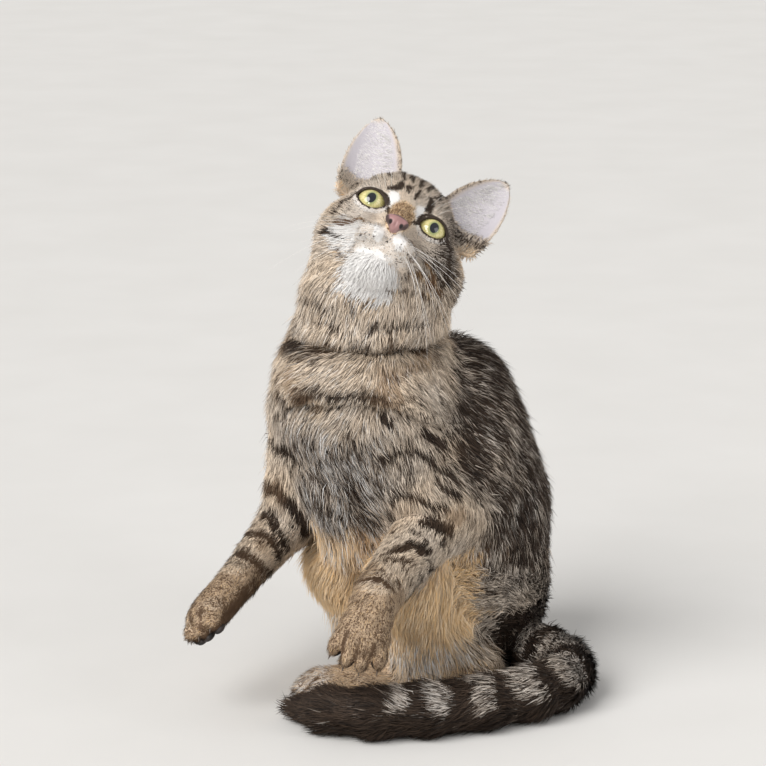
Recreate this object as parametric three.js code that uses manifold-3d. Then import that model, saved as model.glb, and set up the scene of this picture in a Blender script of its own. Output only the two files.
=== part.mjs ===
// A young short-haired tabby cat, life size, sitting on its rump with the trunk upright, the forelegs
// lifted off the floor, the tail curled round in front of the hind foot and the face turned up.
// Millimetres, +Z up. +X is to the cat's left as it faces -Y. The outline is that of the coat's tips.

import * as THREE from 'three';
import { mergeVertices } from 'three/addons/utils/BufferGeometryUtils.js';
import Module from 'manifold-3d';

const wasm = await Module();
wasm.setup();
const { Manifold } = wasm;

// ---------------------------------------------------------------------------------------------
// Driving dimensions

const GAP = 0.3;             // between neighbouring pieces
const THIN = 0.2;            // how far a facet may lie off the finer surface that it replaces
const EYE_RADIUS = 10.7;
const EYE_SPREAD = 18.7;     // each eye's centre from the middle of the face
const LID_RADIUS = 12.6;     // round the eyeball, over the lids' short hair
const LID_HALF_WIDTH = 9.0;
const LID_HALF_HEIGHT = 6.9;
const LID_TILT = 9;          // degrees, the outer corner up
const EAR_HALF_WIDTH = 17.5;
const EAR_CUP = 12;          // depth of the cup at the ear's root
const EAR_THICK = 3.2;
const EAR_INSET = 0.2;       // part of an ear's height that is sunk in the head
const EAR_TIP = 0.8;         // half width left at the very tip
const EAR_COLUMNS = 6;
const EAR_ROWS = 7;
const BALL_COLUMNS = 12;
const BALL_ROWS = 8;
const ROOM_BEHIND_LIDS = 22; // how far the lids' opening is cut out along the gaze

const BETWEEN_EYES = [10, -78, 304];
const HEAD_HEADING = 10;     // degrees that the face is turned to the cat's left
const HEAD_RISE = 33;        // degrees that it looks up
const HEAD_ROLL = 30;        // degrees that its left cheek is dropped

// Middle of each joint, or of the body at that station.
const at = {
  pelvis: [56, 19, 50], loin: [53, 12, 64], ribs: [49, 0, 112], withers: [43, -8, 182],
  belly: [36, -8, 98], breast: [23, -24, 152], collar: [-9, -44, 184],
  neckBase: [-12, -52, 204], nape: [-4, -60, 256],
  left: {
    shoulder: [9, -66, 188], elbow: [34, -60, 117], wrist: [-3, -122, 87], forepaw: [-13, -143, 65],
    hip: [58, -6, 46], knee: [17, -68, 76], shin: [22, -60, 27], hock: [62, -45, 12.5],
    hindpaw: [-40, -72, 11],
  },
  right: {
    shoulder: [-40, -34, 175], elbow: [-60, -16, 100], wrist: [-89, -64, 76], forepaw: [-108, -92, 61],
    hip: [58, 40, 46], knee: [-22, 0, 68], shin: [-12, -2, 31], hock: [52, 46, 12.5],
    hindpaw: [-10, -20, 11],
  },
};

// Radii over the coat.
const girth = {
  pelvis: 43, loin: 46, ribs: 49, withers: 34, belly: 48, breast: 55, collar: 52, neckBase: 52, nape: 42,
  occiput: 36, noseBridge: 9.5, noseTip: 6.5, heel: 14, hock: 13.5, instep: 12.5,
  left: { shoulder: 30, elbow: 22, wrist: 14.5, forepaw: 16.5, hip: 41, knee: 25, shin: 21, hindpaw: 15 },
  right: { shoulder: 30, elbow: 18, wrist: 12.5, forepaw: 14.5, hip: 40, knee: 25, shin: 23, hindpaw: 15 },
};

// Ovals of muscle and bone in the head, in its own left, forward and up. Those with a side come in pairs.
const headOvals = {
  skull: { centre: [0, -32, 4], radii: [36, 40, 33], fillet: 12 },
  brow: { centre: [0, -8, 6], radii: [28, 19, 24], fillet: 14 },
  cheekbone: { centre: [22, -9, -9], radii: [17, 17, 13], fillet: 10, paired: true },
  leftJowl: { centre: [30, -24, -15], radii: [20.5, 24, 20], fillet: 12 },
  rightJowl: { centre: [-25, -24, -15], radii: [18.5, 24, 20], fillet: 12 },
};
const muzzleOvals = {
  muzzle: { centre: [0, 10, -24], radii: [14, 15, 11], fillet: 8 },
  whiskerPad: { centre: [8.3, 17, -25], radii: [11.3, 12.5, 8], fillet: 4, paired: true },
  chin: { centre: [0, 13, -35.5], radii: [10.5, 9.5, 7.5], fillet: 5 },
  throat: { centre: [0, -8, -30], radii: [22, 26, 15], fillet: 12 },
  noseEnd: { centre: [0, 28.3, -17.5], radii: [6.3, 3.8, 4.6], fillet: 3 },
  lids: {
    centre: [EYE_SPREAD, 0, 0], radii: [LID_RADIUS, LID_RADIUS, LID_RADIUS], fillet: 4, paired: true,
  },
};
const occiput = [0, -36, -10];
const noseBridge = [0, 6, 2];
const noseTip = [0, 24, -14];
const rump = { centre: [58, 16, 27], radii: [38, 42, 29], fillet: 16 };

// A paw's palm and toes, as parts of its girth.
const paw = {
  palm: [0.95, 1.02, 0.82], toe: [0.62, 0.36, 0.54], spread: 0.52, drop: 0.18, splay: 0.12,
  innerReach: 0.62, outerReach: 0.35,
};
const across = { left: [1, 0.1, 0], right: [0.35, -0.8, 0.35] };  // each forepaw's line of toes
const gaze = [0.16, 1, 0.02];                                     // of the left eye, in the head

// The tail's middle line, from the root under the rump round to the tip, with its radius.
const tail = [
  [58, 36, 20, 17], [78, 12, 17, 17], [91, -12, 17, 17], [103, -30, 17, 17], [112, -46, 17, 17.5],
  [114, -63, 17, 17.5], [107, -82, 17, 17.5], [90, -99, 17, 17.5], [62, -114, 16.8, 17.2],
  [28, -126, 16.8, 17.2], [-4, -131, 16, 16.3], [-33, -123, 14.5, 14.6], [-52, -105, 9.5, 9],
];
const TAIL_LENGTHS = 3;

// ---------------------------------------------------------------------------------------------
// Plain vectors

const add = (a, b, s = 1) => [a[0] + b[0] * s, a[1] + b[1] * s, a[2] + b[2] * s];
const sub = (a, b) => add(a, b, -1);
const dot = (a, b) => a[0] * b[0] + a[1] * b[1] + a[2] * b[2];
const cross = (a, b) => [
  a[1] * b[2] - a[2] * b[1], a[2] * b[0] - a[0] * b[2], a[0] * b[1] - a[1] * b[0]];
const unit = (a) => {
  const n = Math.hypot(...a);
  return [a[0] / n, a[1] / n, a[2] / n];
};
const ORIGIN = [0, 0, 0];
const mix = (a, b, t) => add(add(ORIGIN, a, 1 - t), b, t);
const clamp = (x, lo, hi) => Math.min(Math.max(x, lo), hi);
const smallest = (v) => v.reduce((m, x) => Math.min(m, x), Infinity);
const rad = THREE.MathUtils.degToRad;

// ---------------------------------------------------------------------------------------------
// The head's own directions: to the cat's left, forward out of the face, and up through the crown

const headAxes = (() => {
  const [h, e, r] = [HEAD_HEADING, HEAD_RISE, HEAD_ROLL].map(rad);
  const forward = [Math.sin(h) * Math.cos(e), -Math.cos(h) * Math.cos(e), Math.sin(e)];
  const level = [Math.cos(h), Math.sin(h), 0];
  const upright = cross(forward, level);
  return {
    left: add(add(ORIGIN, level, Math.cos(r)), upright, -Math.sin(r)),
    forward,
    up: add(add(ORIGIN, upright, Math.cos(r)), level, Math.sin(r)),
  };
})();
const headFrame = [headAxes.left, headAxes.forward, headAxes.up];
const turnToHead = (v) => headFrame.reduce((sum, axis, i) => add(sum, axis, v[i]), ORIGIN);
const onHead = (left, forward, up) => add(BETWEEN_EYES, turnToHead([left, forward, up]));

// ---------------------------------------------------------------------------------------------
// Distance to simple round shapes, negative inside

const TINY = 1e-9;
const FAR = 1e3;

// A cone with round ends, from a to b.
function roundCone(a, b, ra, rb) {
  const d = sub(b, a);
  const length2 = dot(d, d);
  return (p) => {
    const q = sub(p, a);
    const t = clamp(dot(q, d) / length2, 0, 1);
    return Math.hypot(q[0] - d[0] * t, q[1] - d[1] * t, q[2] - d[2] * t) - (ra + (rb - ra) * t);
  };
}

// An ellipsoid whose radii lie along three square axes.
function ellipsoid(centre, axes, radii) {
  return (p) => {
    const q = sub(p, centre);
    const s = axes.map((axis, i) => dot(q, axis) / radii[i]);
    const k = Math.hypot(...s);
    const g = Math.hypot(s[0] / radii[0], s[1] / radii[1], s[2] / radii[2]);
    return g > TINY ? k * (k - 1) / g : -smallest(radii);
  };
}

// The nearer of two distances, with the crease between them filled to a soft fillet.
function blend(a, b, width) {
  const h = clamp(0.5 + 0.5 * (b - a) / width, 0, 1);
  return b * (1 - h) + a * h - width * h * (1 - h);
}

// ---------------------------------------------------------------------------------------------
// The flesh, as one list of round shapes. Each one names the limb it belongs to and its fillet.

const flesh = [];
const addCone = (limb, a, b, ra, rb, fillet) =>
  flesh.push({ limb, fillet, distance: roundCone(a, b, ra, rb) });
const addOval = (limb, centre, axes, radii, fillet) =>
  flesh.push({ limb, fillet, distance: ellipsoid(centre, axes, radii) });
const level = [[1, 0, 0], [0, 1, 0], [0, 0, 1]];
const UP = level[2];

// A length of the trunk between two stations.
function addLength(from, to, fillet) {
  addCone('trunk', at[from], at[to], girth[from], girth[to], fillet);
}

function addTrunk() {
  addLength('pelvis', 'loin', 6);
  addOval('trunk', rump.centre, level, rump.radii, rump.fillet);
  addLength('loin', 'ribs', 30);
  addLength('ribs', 'withers', 30);
  addLength('belly', 'breast', 30);
  addLength('breast', 'collar', 30);
  addLength('neckBase', 'nape', 24);
  addCone('trunk', at.nape, onHead(...occiput), girth.nape, girth.occiput, 16);
}

function addHeadOvals(ovals) {
  for (const { centre: [left, forward, up], radii, fillet, paired } of Object.values(ovals)) {
    for (const side of paired ? [1, -1] : [1]) {
      addOval('trunk', onHead(left * side, forward, up), headFrame, radii, fillet);
    }
  }
}

function addHead() {
  addHeadOvals(headOvals);
  addCone('trunk', onHead(...noseBridge), onHead(...noseTip), girth.noseBridge, girth.noseTip, 9);
  addHeadOvals(muzzleOvals);
}

// A palm with four toes fanned round its front end.
function addPaw(limb, from, to, across, r) {
  const ahead = unit(sub(to, from));
  const side = unit(add(across, ahead, -dot(across, ahead)));
  const back = cross(ahead, side);
  const palm = add(to, ahead, -3);
  addOval(limb, palm, [ahead, side, back], paw.palm.map((k) => r * k), 5);
  for (const step of [-1.5, -0.5, 0.5, 1.5]) {
    const reach = Math.abs(step) > 1 ? paw.outerReach : paw.innerReach;
    const centre = add(add(palm, ahead, reach * r), side, step * r * paw.spread);
    const turned = [add(ahead, side, step * paw.splay), add(side, ahead, -step * paw.splay)];
    const axes = [...turned.map(unit), back];
    addOval(limb, add(centre, back, -paw.drop * r), axes, paw.toe.map((k) => r * k), 2);
  }
}

function addForeleg(side) {
  const [j, r] = [at[side], girth[side]];
  addCone(`foreleg_${side}`, j.shoulder, j.elbow, r.shoulder, r.elbow, 18);
  addCone(`foreleg_${side}`, j.elbow, j.wrist, r.elbow, r.wrist, 4);
  addCone(`forepaw_${side}`, j.wrist, mix(j.wrist, j.forepaw, 0.65), r.wrist, r.wrist + 0.5, 4);
  addPaw(`forepaw_${side}`, j.wrist, j.forepaw, across[side], r.forepaw);
}

function addHindLeg(side) {
  const [j, r] = [at[side], girth[side]];
  addCone(`hindleg_${side}`, j.hip, j.knee, r.hip, r.knee, 20);
  addCone(`hindleg_${side}`, j.knee, j.shin, r.knee - 1, r.shin, 14);
  addCone(`hindleg_${side}`, j.knee, j.hock, r.knee - 1, girth.heel, 12);
  addCone(`hind_foot_${side}`, j.hock, mix(j.hock, j.hindpaw, 0.86), girth.hock, girth.instep, 8);
  addPaw(`hind_foot_${side}`, j.hock, j.hindpaw, cross(UP, sub(j.hindpaw, j.hock)), r.hindpaw);
}

function addTail() {
  const steps = tail.length - 1;
  for (let i = 0; i < steps; i += 1) {
    const [a, b] = [tail[i], tail[i + 1]];
    const part = Math.floor(i * TAIL_LENGTHS / steps) + 1;
    addCone(`tail_${part}`, a.slice(0, 3), b.slice(0, 3), a[3], b[3], i === 0 ? 10 : 5);
  }
}

addTrunk();
addHead();
addHindLeg('left');
addHindLeg('right');
addTail();
addForeleg('left');
addForeleg('right');

const wholeBody = (p) => flesh.reduce((d, shape) => blend(d, shape.distance(p), shape.fillet), FAR);
const only = (limb, fillet) => {
  const own = flesh.filter((shape) => shape.limb === limb);
  return (p) => own.reduce((d, shape) => blend(d, shape.distance(p), fillet ?? shape.fillet), FAR);
};

// ---------------------------------------------------------------------------------------------
// A faceted surface through the zero of a distance, closed off at the faces of its box

const CELLS_BEFORE = 1.2;
const CELLS_SPARE = 3.6;

function facet(distance, box, cell, nudge = 0) {
  const [lo, hi] = box;
  const inBox = (p) => Math.max(...p.map((x, i) => Math.max(lo[i] - x, x - hi[i])));
  const field = (p) => Math.max(distance(p), inBox(p));
  const start = lo.map((x) => x - cell * (CELLS_BEFORE + nudge));
  const n = lo.map((x, i) => Math.ceil((hi[i] - x) / cell + CELLS_SPARE));
  const stride = [1, n[0] + 1, (n[0] + 1) * (n[1] + 1)];
  const node = (i, j, k) => [start[0] + i * cell, start[1] + j * cell, start[2] + k * cell];
  const index = (i, j, k) => i + j * stride[1] + k * stride[2];
  const value = new Float64Array(stride[2] * (n[2] + 1));
  const each = (visit) => {
    for (let k = 0; k <= n[2]; k += 1) {
      for (let j = 0; j <= n[1]; j += 1) {
        for (let i = 0; i <= n[0]; i += 1) visit(i, j, k);
      }
    }
  };
  each((i, j, k) => { value[index(i, j, k)] = field(node(i, j, k)); });

  // Each crossed edge adds its crossing to the four cells round it and joins them by two triangles.
  const sums = new Map();
  const quads = [];
  each((i, j, k) => {
    const here = value[index(i, j, k)];
    [0, 1, 2].forEach((axis) => {
      const corner = [i, j, k];
      if (corner[axis] >= n[axis]) return;
      const there = value[index(i, j, k) + stride[axis]];
      if ((here < 0) === (there < 0)) return;
      const point = node(i, j, k);
      point[axis] += cell * here / (here - there);
      const [b, c] = [(axis + 1) % 3, (axis + 2) % 3];
      const around = [[-1, -1], [0, -1], [0, 0], [-1, 0]].map(([db, dc]) => {
        const node3 = [...corner];
        node3[b] += db;
        node3[c] += dc;
        const key = index(...node3);
        const sum = sums.get(key) || [0, 0, 0, 0];
        sums.set(key, [...add(sum, point), sum[3] + 1]);
        return key;
      });
      quads.push(here < 0 ? around : around.reverse());
    });
  });

  const names = new Map();
  const points = [];
  for (const [key, sum] of sums) {
    names.set(key, points.length);
    points.push(settle(distance, [sum[0] / sum[3], sum[1] / sum[3], sum[2] / sum[3]], cell, inBox));
  }
  const triangles = [];
  for (const quad of quads) {
    const q = quad.map((key) => names.get(key));
    const apart = (a, b) => Math.hypot(...sub(points[q[a]], points[q[b]]));
    if (apart(0, 2) <= apart(1, 3)) triangles.push([q[0], q[1], q[2]], [q[0], q[2], q[3]]);
    else triangles.push([q[1], q[2], q[3]], [q[1], q[3], q[0]]);
  }
  return { points, triangles };
}

// Moves a point down the slope of the distance until it lies on the surface.
const SLOPE_STEP = 0.25;
const LEAST_SLOPE = 0.05;
const SETTLE_PASSES = 3;

function settle(distance, point, cell, inBox) {
  if (inBox(point) > -cell) return point;
  const h = SLOPE_STEP;
  let p = point;
  for (let pass = 0; pass < SETTLE_PASSES; pass += 1) {
    const d = distance(p);
    const slope = level.map((axis) => (distance(add(p, axis, h)) - distance(add(p, axis, -h))) / (2 * h));
    const steep = dot(slope, slope);
    if (steep < LEAST_SLOPE) return p;
    p = add(p, slope, -clamp(d, -cell / 3, cell / 3) / steep);
  }
  return p;
}

// ---------------------------------------------------------------------------------------------
// Solids: joined, cut and turned back into meshes

function solidOf({ points, triangles }) {
  return new Manifold(new wasm.Mesh({
    numProp: 3,
    vertProperties: new Float32Array(points.flat()),
    triVerts: new Uint32Array(triangles.flat()),
  }));
}

// The same facets, moved outward along the average of the normals round each corner.
function grow({ points, triangles }, distance) {
  const normals = points.map(() => [0, 0, 0]);
  for (const t of triangles) {
    const n = cross(sub(points[t[1]], points[t[0]]), sub(points[t[2]], points[t[0]]));
    for (const corner of t) normals[corner] = add(normals[corner], n);
  }
  return { triangles, points: points.map((p, i) => add(p, unit(normals[i]), distance)) };
}

// Faces a solid, shifting the cells by a part of their size where two sheets of it meet in one cell.
const NUDGES = [0, 0.31, 0.57, 0.83, 0.13];

function facetSolid(distance, box, cell) {
  for (const nudge of NUDGES) {
    const mesh = facet(distance, box, cell, nudge);
    try {
      const solid = solidOf(mesh);
      if (solid.status() === 'NoError' && !solid.isEmpty()) return { mesh, solid };
    } catch (error) {
      if (nudge === NUDGES.at(-1)) throw error;
    }
  }
  throw new Error('no cell position gives a closed surface');
}

const largest = (solid) => solid.decompose().sort((a, b) => b.volume() - a.volume())[0];

function listsOf(solid) {
  const mesh = solid.getMesh();
  const row = (array, i, width) => Array.from(array.subarray(i * width, i * width + 3));
  return {
    points: Array.from({ length: mesh.numVert }, (_, v) => row(mesh.vertProperties, v, mesh.numProp)),
    triangles: Array.from({ length: mesh.numTri }, (_, t) => row(mesh.triVerts, t, 3)),
  };
}

// Drops corners that the facets round them don't need: each is drawn into a neighbour that lies within
// the tolerance of every facet that has met there, and no facet shrinks to nothing or turns far.
const LEAST_FACET = 0.02;
const LEAST_COSINE = 0.2;
const THIN_PASSES = 8;

function thin(solid, tolerance) {
  const { points, triangles } = listsOf(solid);
  const normalOf = (t) => cross(sub(points[t[1]], points[t[0]]), sub(points[t[2]], points[t[0]]));
  const planes = points.map(() => []);
  const around = points.map(() => new Set());
  triangles.forEach((t, id) => {
    const n = unit(normalOf(t));
    for (const corner of t) {
      planes[corner].push([...n, -dot(n, points[t[0]])]);
      around[corner].add(id);
    }
  });
  const neighbours = (u) => {
    const found = new Set();
    for (const id of around[u]) triangles[id].forEach((w) => found.add(w));
    found.delete(u);
    return found;
  };
  const fits = (u, v) => {
    const [a, b] = [neighbours(u), neighbours(v)];
    if ([...a].filter((w) => b.has(w)).length !== 2) return false;
    if (planes[u].some((f) => Math.abs(dot(f, points[v]) + f[3]) > tolerance)) return false;
    return [...around[u]].every((id) => {
      if (triangles[id].includes(v)) return true;
      const [before, after] = [triangles[id], triangles[id].map((w) => (w === u ? v : w))].map(normalOf);
      const size = Math.hypot(...after);
      return size > LEAST_FACET && dot(before, after) > LEAST_COSINE * size * Math.hypot(...before);
    });
  };
  let changed = true;
  for (let pass = 0; pass < THIN_PASSES && changed; pass += 1) {
    changed = false;
    for (let u = 0; u < points.length; u += 1) {
      if (around[u].size === 0) continue;
      const near = (v) => Math.hypot(...sub(points[u], points[v]));
      const v = [...neighbours(u)].sort((p, q) => near(p) - near(q)).find((w) => fits(u, w));
      if (v === undefined) continue;
      changed = true;
      for (const id of around[u]) {
        if (triangles[id].includes(v)) {
          for (const w of triangles[id]) if (w !== u) around[w].delete(id);
        } else {
          triangles[id] = triangles[id].map((w) => (w === u ? v : w));
          around[v].add(id);
        }
      }
      planes[v].push(...planes[u]);
      around[u] = new Set();
    }
  }
  const kept = points.map((_, i) => i).filter((i) => around[i].size > 0);
  const place = new Map(kept.map((old, i) => [old, i]));
  const used = [...new Set(kept.flatMap((i) => [...around[i]]))];
  return solidOf({
    points: kept.map((i) => points[i]),
    triangles: used.map((id) => triangles[id].map((w) => place.get(w))),
  });
}

const SAME_POINT = 1e-4;

function solidOfGeometry(geometry) {
  const bare = geometry.clone();
  bare.deleteAttribute('normal');
  bare.deleteAttribute('uv');
  const merged = mergeVertices(bare.index ? bare.toNonIndexed() : bare, SAME_POINT);
  return new Manifold(new wasm.Mesh({
    numProp: 3,
    vertProperties: new Float32Array(merged.attributes.position.array),
    triVerts: new Uint32Array(merged.index.array),
  }));
}

function geometryOf(solid) {
  const { points, triangles } = listsOf(solid);
  const geometry = new THREE.BufferGeometry();
  geometry.setAttribute('position', new THREE.BufferAttribute(new Float32Array(points.flat()), 3));
  geometry.setIndex(triangles.flat());
  geometry.computeVertexNormals();
  return geometry;
}

const cat = new THREE.Group();
function addNode(name, solid, color, { tolerance = THIN, roughness = 0.95 } = {}) {
  const material = new THREE.MeshStandardMaterial({ color, roughness, metalness: 0 });
  const mesh = new THREE.Mesh(geometryOf(thin(solid, tolerance)), material);
  mesh.name = name;
  cat.add(mesh);
}

const colour = {
  grey: 0x8a8071, buff: 0xa8977c, orange: 0xb98d5c, dark: 0x3a332d, brown: 0x9a8467, eye: 0xb9bf5a,
  nose: 0xa9706c,
};

// ---------------------------------------------------------------------------------------------
// Limbs, from the tips inward: each is the part of the body that lies in the limb or within a short
// reach of it, less the limbs before it, with the facets' size in millimetres

// The box round a list of points, with room on every side.
function boxRound(points, room) {
  const lo = [0, 1, 2].map((i) => smallest(points.map((p) => p[i])) - room);
  const hi = [0, 1, 2].map((i) => -smallest(points.map((p) => -p[i])) + room);
  return [lo, hi];
}

const cuts = [];
const lessLimbs = (solid) => cuts.reduce((rest, cut) => rest.subtract(cut), solid);
function addLimb(name, box, { cell, reach, color, plane }) {
  const limb = only(name, 4);
  const { mesh, solid } = facetSolid((p) => Math.max(wholeBody(p), limb(p) - reach), box, cell);
  let piece = solid;
  let cut = solidOf(grow(mesh, GAP + THIN));
  if (plane) {
    piece = piece.trimByPlane(plane.normal, plane.offset);
    cut = cut.trimByPlane(plane.normal, plane.offset - GAP);
  }
  addNode(name, largest(lessLimbs(piece).trimByPlane(UP, 0)), color);
  cuts.push(cut);
}

for (const side of ['left', 'right']) {
  const [j, r] = [at[side], girth[side]];
  const forepaw = boxRound([j.wrist, j.forepaw], r.forepaw * 2.2);
  const foot = boxRound([j.hock, j.hindpaw], 36);
  const leg = boxRound([j.shoulder, j.elbow, j.wrist], r.shoulder + 9);
  addLimb(`forepaw_${side}`, forepaw, { cell: 7, reach: 1.5, color: colour.buff });
  addLimb(`hind_foot_${side}`, foot, { cell: 9, reach: 2, color: colour.brown });
  addLimb(`foreleg_${side}`, leg, { cell: 12, reach: 3, color: colour.grey });
}
for (let part = TAIL_LENGTHS; part > 0; part -= 1) {
  const run = boxRound(tail.map((p) => p.slice(0, 3)), 27);
  addLimb(`tail_${part}`, run, { cell: 11, reach: 2, color: part > 1 ? colour.dark : colour.grey });
}
const hipPlanes = {
  left: { normal: [0, -1, 0], offset: -2 },
  right: { normal: [0, 1, 0], offset: 30 },
};
for (const [side, plane] of Object.entries(hipPlanes)) {
  const j = at[side];
  const leg = boxRound([j.hip, j.knee, j.shin, j.hock], 52);
  addLimb(`hindleg_${side}`, leg, { cell: 14, reach: 3.5, color: colour.orange, plane });
}

// ---------------------------------------------------------------------------------------------
// The trunk, less the limbs, parted by planes across it

const TRUNK_CELL = 16;
const NECK_CELL = 14;
const HEAD_CELL = 7;
const trunkShape = only('trunk');
const trunkRoom = [[-75, -125, -8], [115, 90, 240]];
const trunk = lessLimbs(facetSolid(trunkShape, trunkRoom, TRUNK_CELL).solid).trimByPlane(UP, 0);
const headCut = { normal: unit([0.35, 0.3, 0.89]), through: [-8, -102, 268] };
const collarCut = { normal: unit([0.15, -0.15, 0.98]), through: [-10, -55, 222] };
const chestCut = { normal: unit([-0.41, -0.36, 0.84]), through: [30, -10, 132] };
const above = (solid, { normal, through }) => solid.trimByPlane(normal, dot(normal, through) + GAP / 2);
const below = (solid, { normal, through }) =>
  solid.trimByPlane(normal.map((x) => -x), -dot(normal, through) + GAP / 2);

addNode('hips', largest(below(trunk, chestCut)), colour.grey);
addNode('chest', largest(below(above(trunk, chestCut), collarCut)), colour.grey);

const neckRoom = [[-90, -135, 190], [90, 20, 305]];
const neck = lessLimbs(facetSolid(trunkShape, neckRoom, NECK_CELL).solid);
addNode('neck', largest(below(above(neck, collarCut), headCut)), colour.brown);

// ---------------------------------------------------------------------------------------------
// The head, with sockets and lid openings cut for the eyes, a bare nose pad and two cupped ears

const headRoom = [[-70, -150, 225], [80, 10, 365]];
const headMesh = facetSolid(trunkShape, headRoom, HEAD_CELL);
let head = above(headMesh.solid, headCut);

// Places a geometry with its own x, y and z along three square directions from a point.
function placed(geometry, x, y, z, origin) {
  const turn = new THREE.Matrix4().makeBasis(...[x, y, z].map((v) => new THREE.Vector3(...v)));
  return geometry.applyMatrix4(turn.setPosition(...origin));
}

function almond() {
  const arc = (LID_HALF_WIDTH ** 2 + LID_HALF_HEIGHT ** 2) / (2 * LID_HALF_HEIGHT);
  const sweep = Math.asin(LID_HALF_WIDTH / arc);
  const shape = new THREE.Shape();
  shape.absarc(0, LID_HALF_HEIGHT - arc, arc, Math.PI / 2 - sweep, Math.PI / 2 + sweep, false);
  shape.absarc(0, arc - LID_HALF_HEIGHT, arc, -Math.PI / 2 - sweep, -Math.PI / 2 + sweep, false);
  return new THREE.ExtrudeGeometry(shape, {
    depth: ROOM_BEHIND_LIDS, bevelEnabled: false, curveSegments: 6,
  });
}

const eyeball = (radius) => new THREE.SphereGeometry(radius, BALL_COLUMNS, BALL_ROWS);
for (const [name, side] of [['eye_left', 1], ['eye_right', -1]]) {
  const centre = onHead(EYE_SPREAD * side, 0, 0);
  const ahead = unit(turnToHead([gaze[0] * side, gaze[1], gaze[2]]));
  const tilt = rad(LID_TILT);
  const corner = turnToHead([Math.cos(tilt), 0, Math.sin(tilt) * side]);
  const along = unit(add(corner, ahead, -dot(corner, ahead)));
  const frame = [along, cross(ahead, along), ahead];
  const socket = solidOfGeometry(placed(eyeball(EYE_RADIUS + GAP), ...frame, centre));
  const opening = solidOfGeometry(placed(almond(), ...frame, centre));
  head = head.subtract(socket.add(opening));
  const ball = solidOfGeometry(placed(eyeball(EYE_RADIUS), ...frame, centre));
  addNode(name, ball, colour.eye, { tolerance: 0, roughness: 0.1 });
}

const noseRadii = [7.2, 5.6, 5];    // across, up and forward
const noseCentre = onHead(0, 30.5, -17.5);
const nosePad = (spare) => {
  const geometry = new THREE.SphereGeometry(1, BALL_COLUMNS, BALL_ROWS);
  geometry.scale(...noseRadii.map((r) => r + spare));
  const { left, up, forward } = headAxes;
  return solidOfGeometry(placed(geometry, left, up, forward, noseCentre));
};
addNode('nose', head.intersect(nosePad(0)), colour.nose, { roughness: 0.5 });
addNode('head', largest(head.subtract(nosePad(GAP))), colour.brown);

// A cupped sheet, widest at the root and rounded in to the tip, open to the front.
function earSheet(inner, outer, tip) {
  const root = mix(inner, outer, 0.5);
  const height = Math.hypot(...sub(tip, root));
  const axis = unit(sub(tip, root));
  const facing = [0.3 * Math.sign(outer[0]), 0.9, 0.25];
  const front = unit(add(facing, axis, -dot(facing, axis)));
  const spread = cross(front, axis);
  const side = dot(spread, sub(outer, inner)) > 0 ? spread : spread.map((x) => -x);
  const [columns, rows] = [EAR_COLUMNS, EAR_ROWS];
  const points = [];
  for (const layer of [0.5, -0.5]) {
    for (let row = 0; row <= rows; row += 1) {
      const t = row / rows * (1 + EAR_INSET) - EAR_INSET;
      const half = EAR_HALF_WIDTH * Math.max(1 - Math.max(t, 0) ** 2.2, 0) ** 0.75 + EAR_TIP;
      const cup = EAR_CUP * (1 - Math.max(t, 0)) + 0.5;
      for (let column = 0; column <= columns; column += 1) {
        const u = column / columns * 2 - 1;
        const local = add(add(root, side, u * half), axis, t * height);
        const bent = add(local, front, -cup * (1 - u * u) + layer * EAR_THICK);
        points.push(onHead(...bent));
      }
    }
  }
  const wide = columns + 1;
  const layerSize = wide * (rows + 1);
  const triangles = [];
  const quad = (a, b, c, d) => triangles.push([a, b, c], [a, c, d]);
  for (let row = 0; row < rows; row += 1) {
    for (let column = 0; column < columns; column += 1) {
      const a = row * wide + column;
      quad(a, a + 1, a + wide + 1, a + wide);
      quad(a + layerSize, a + layerSize + wide, a + layerSize + wide + 1, a + layerSize + 1);
    }
    const [first, last] = [row * wide, row * wide + columns];
    quad(first + layerSize, first, first + wide, first + wide + layerSize);
    quad(last, last + layerSize, last + wide + layerSize, last + wide);
  }
  for (let column = 0; column < columns; column += 1) {
    const top = rows * wide + column;
    quad(column, column + layerSize, column + layerSize + 1, column + 1);
    quad(top, top + 1, top + layerSize + 1, top + layerSize);
  }
  const sheet = solidOf({ points, triangles });
  if (sheet.volume() > 0) return sheet;
  return solidOf({ points, triangles: triangles.map(([a, b, c]) => [a, c, b]) });
}

const grownHead = solidOf(grow(headMesh.mesh, GAP + THIN));
const ears = {
  ear_left: earSheet([21, -14, 32], [46, -14, 9], [47.5, -30, 65]),
  ear_right: earSheet([-15, -14, 34], [-40, -14, 9], [-39, -30, 67.5]),
};
for (const [name, sheet] of Object.entries(ears)) {
  addNode(name, largest(sheet.subtract(grownHead)), colour.buff);
}

// ---------------------------------------------------------------------------------------------
// The origin: on the floor, under the middle of the cat's own box

const bounds = new THREE.Box3().setFromObject(cat);
const middle = bounds.getCenter(new THREE.Vector3());
cat.position.set(-middle.x, -middle.y, -bounds.min.z);
cat.updateMatrixWorld(true);

export default cat;
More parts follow.
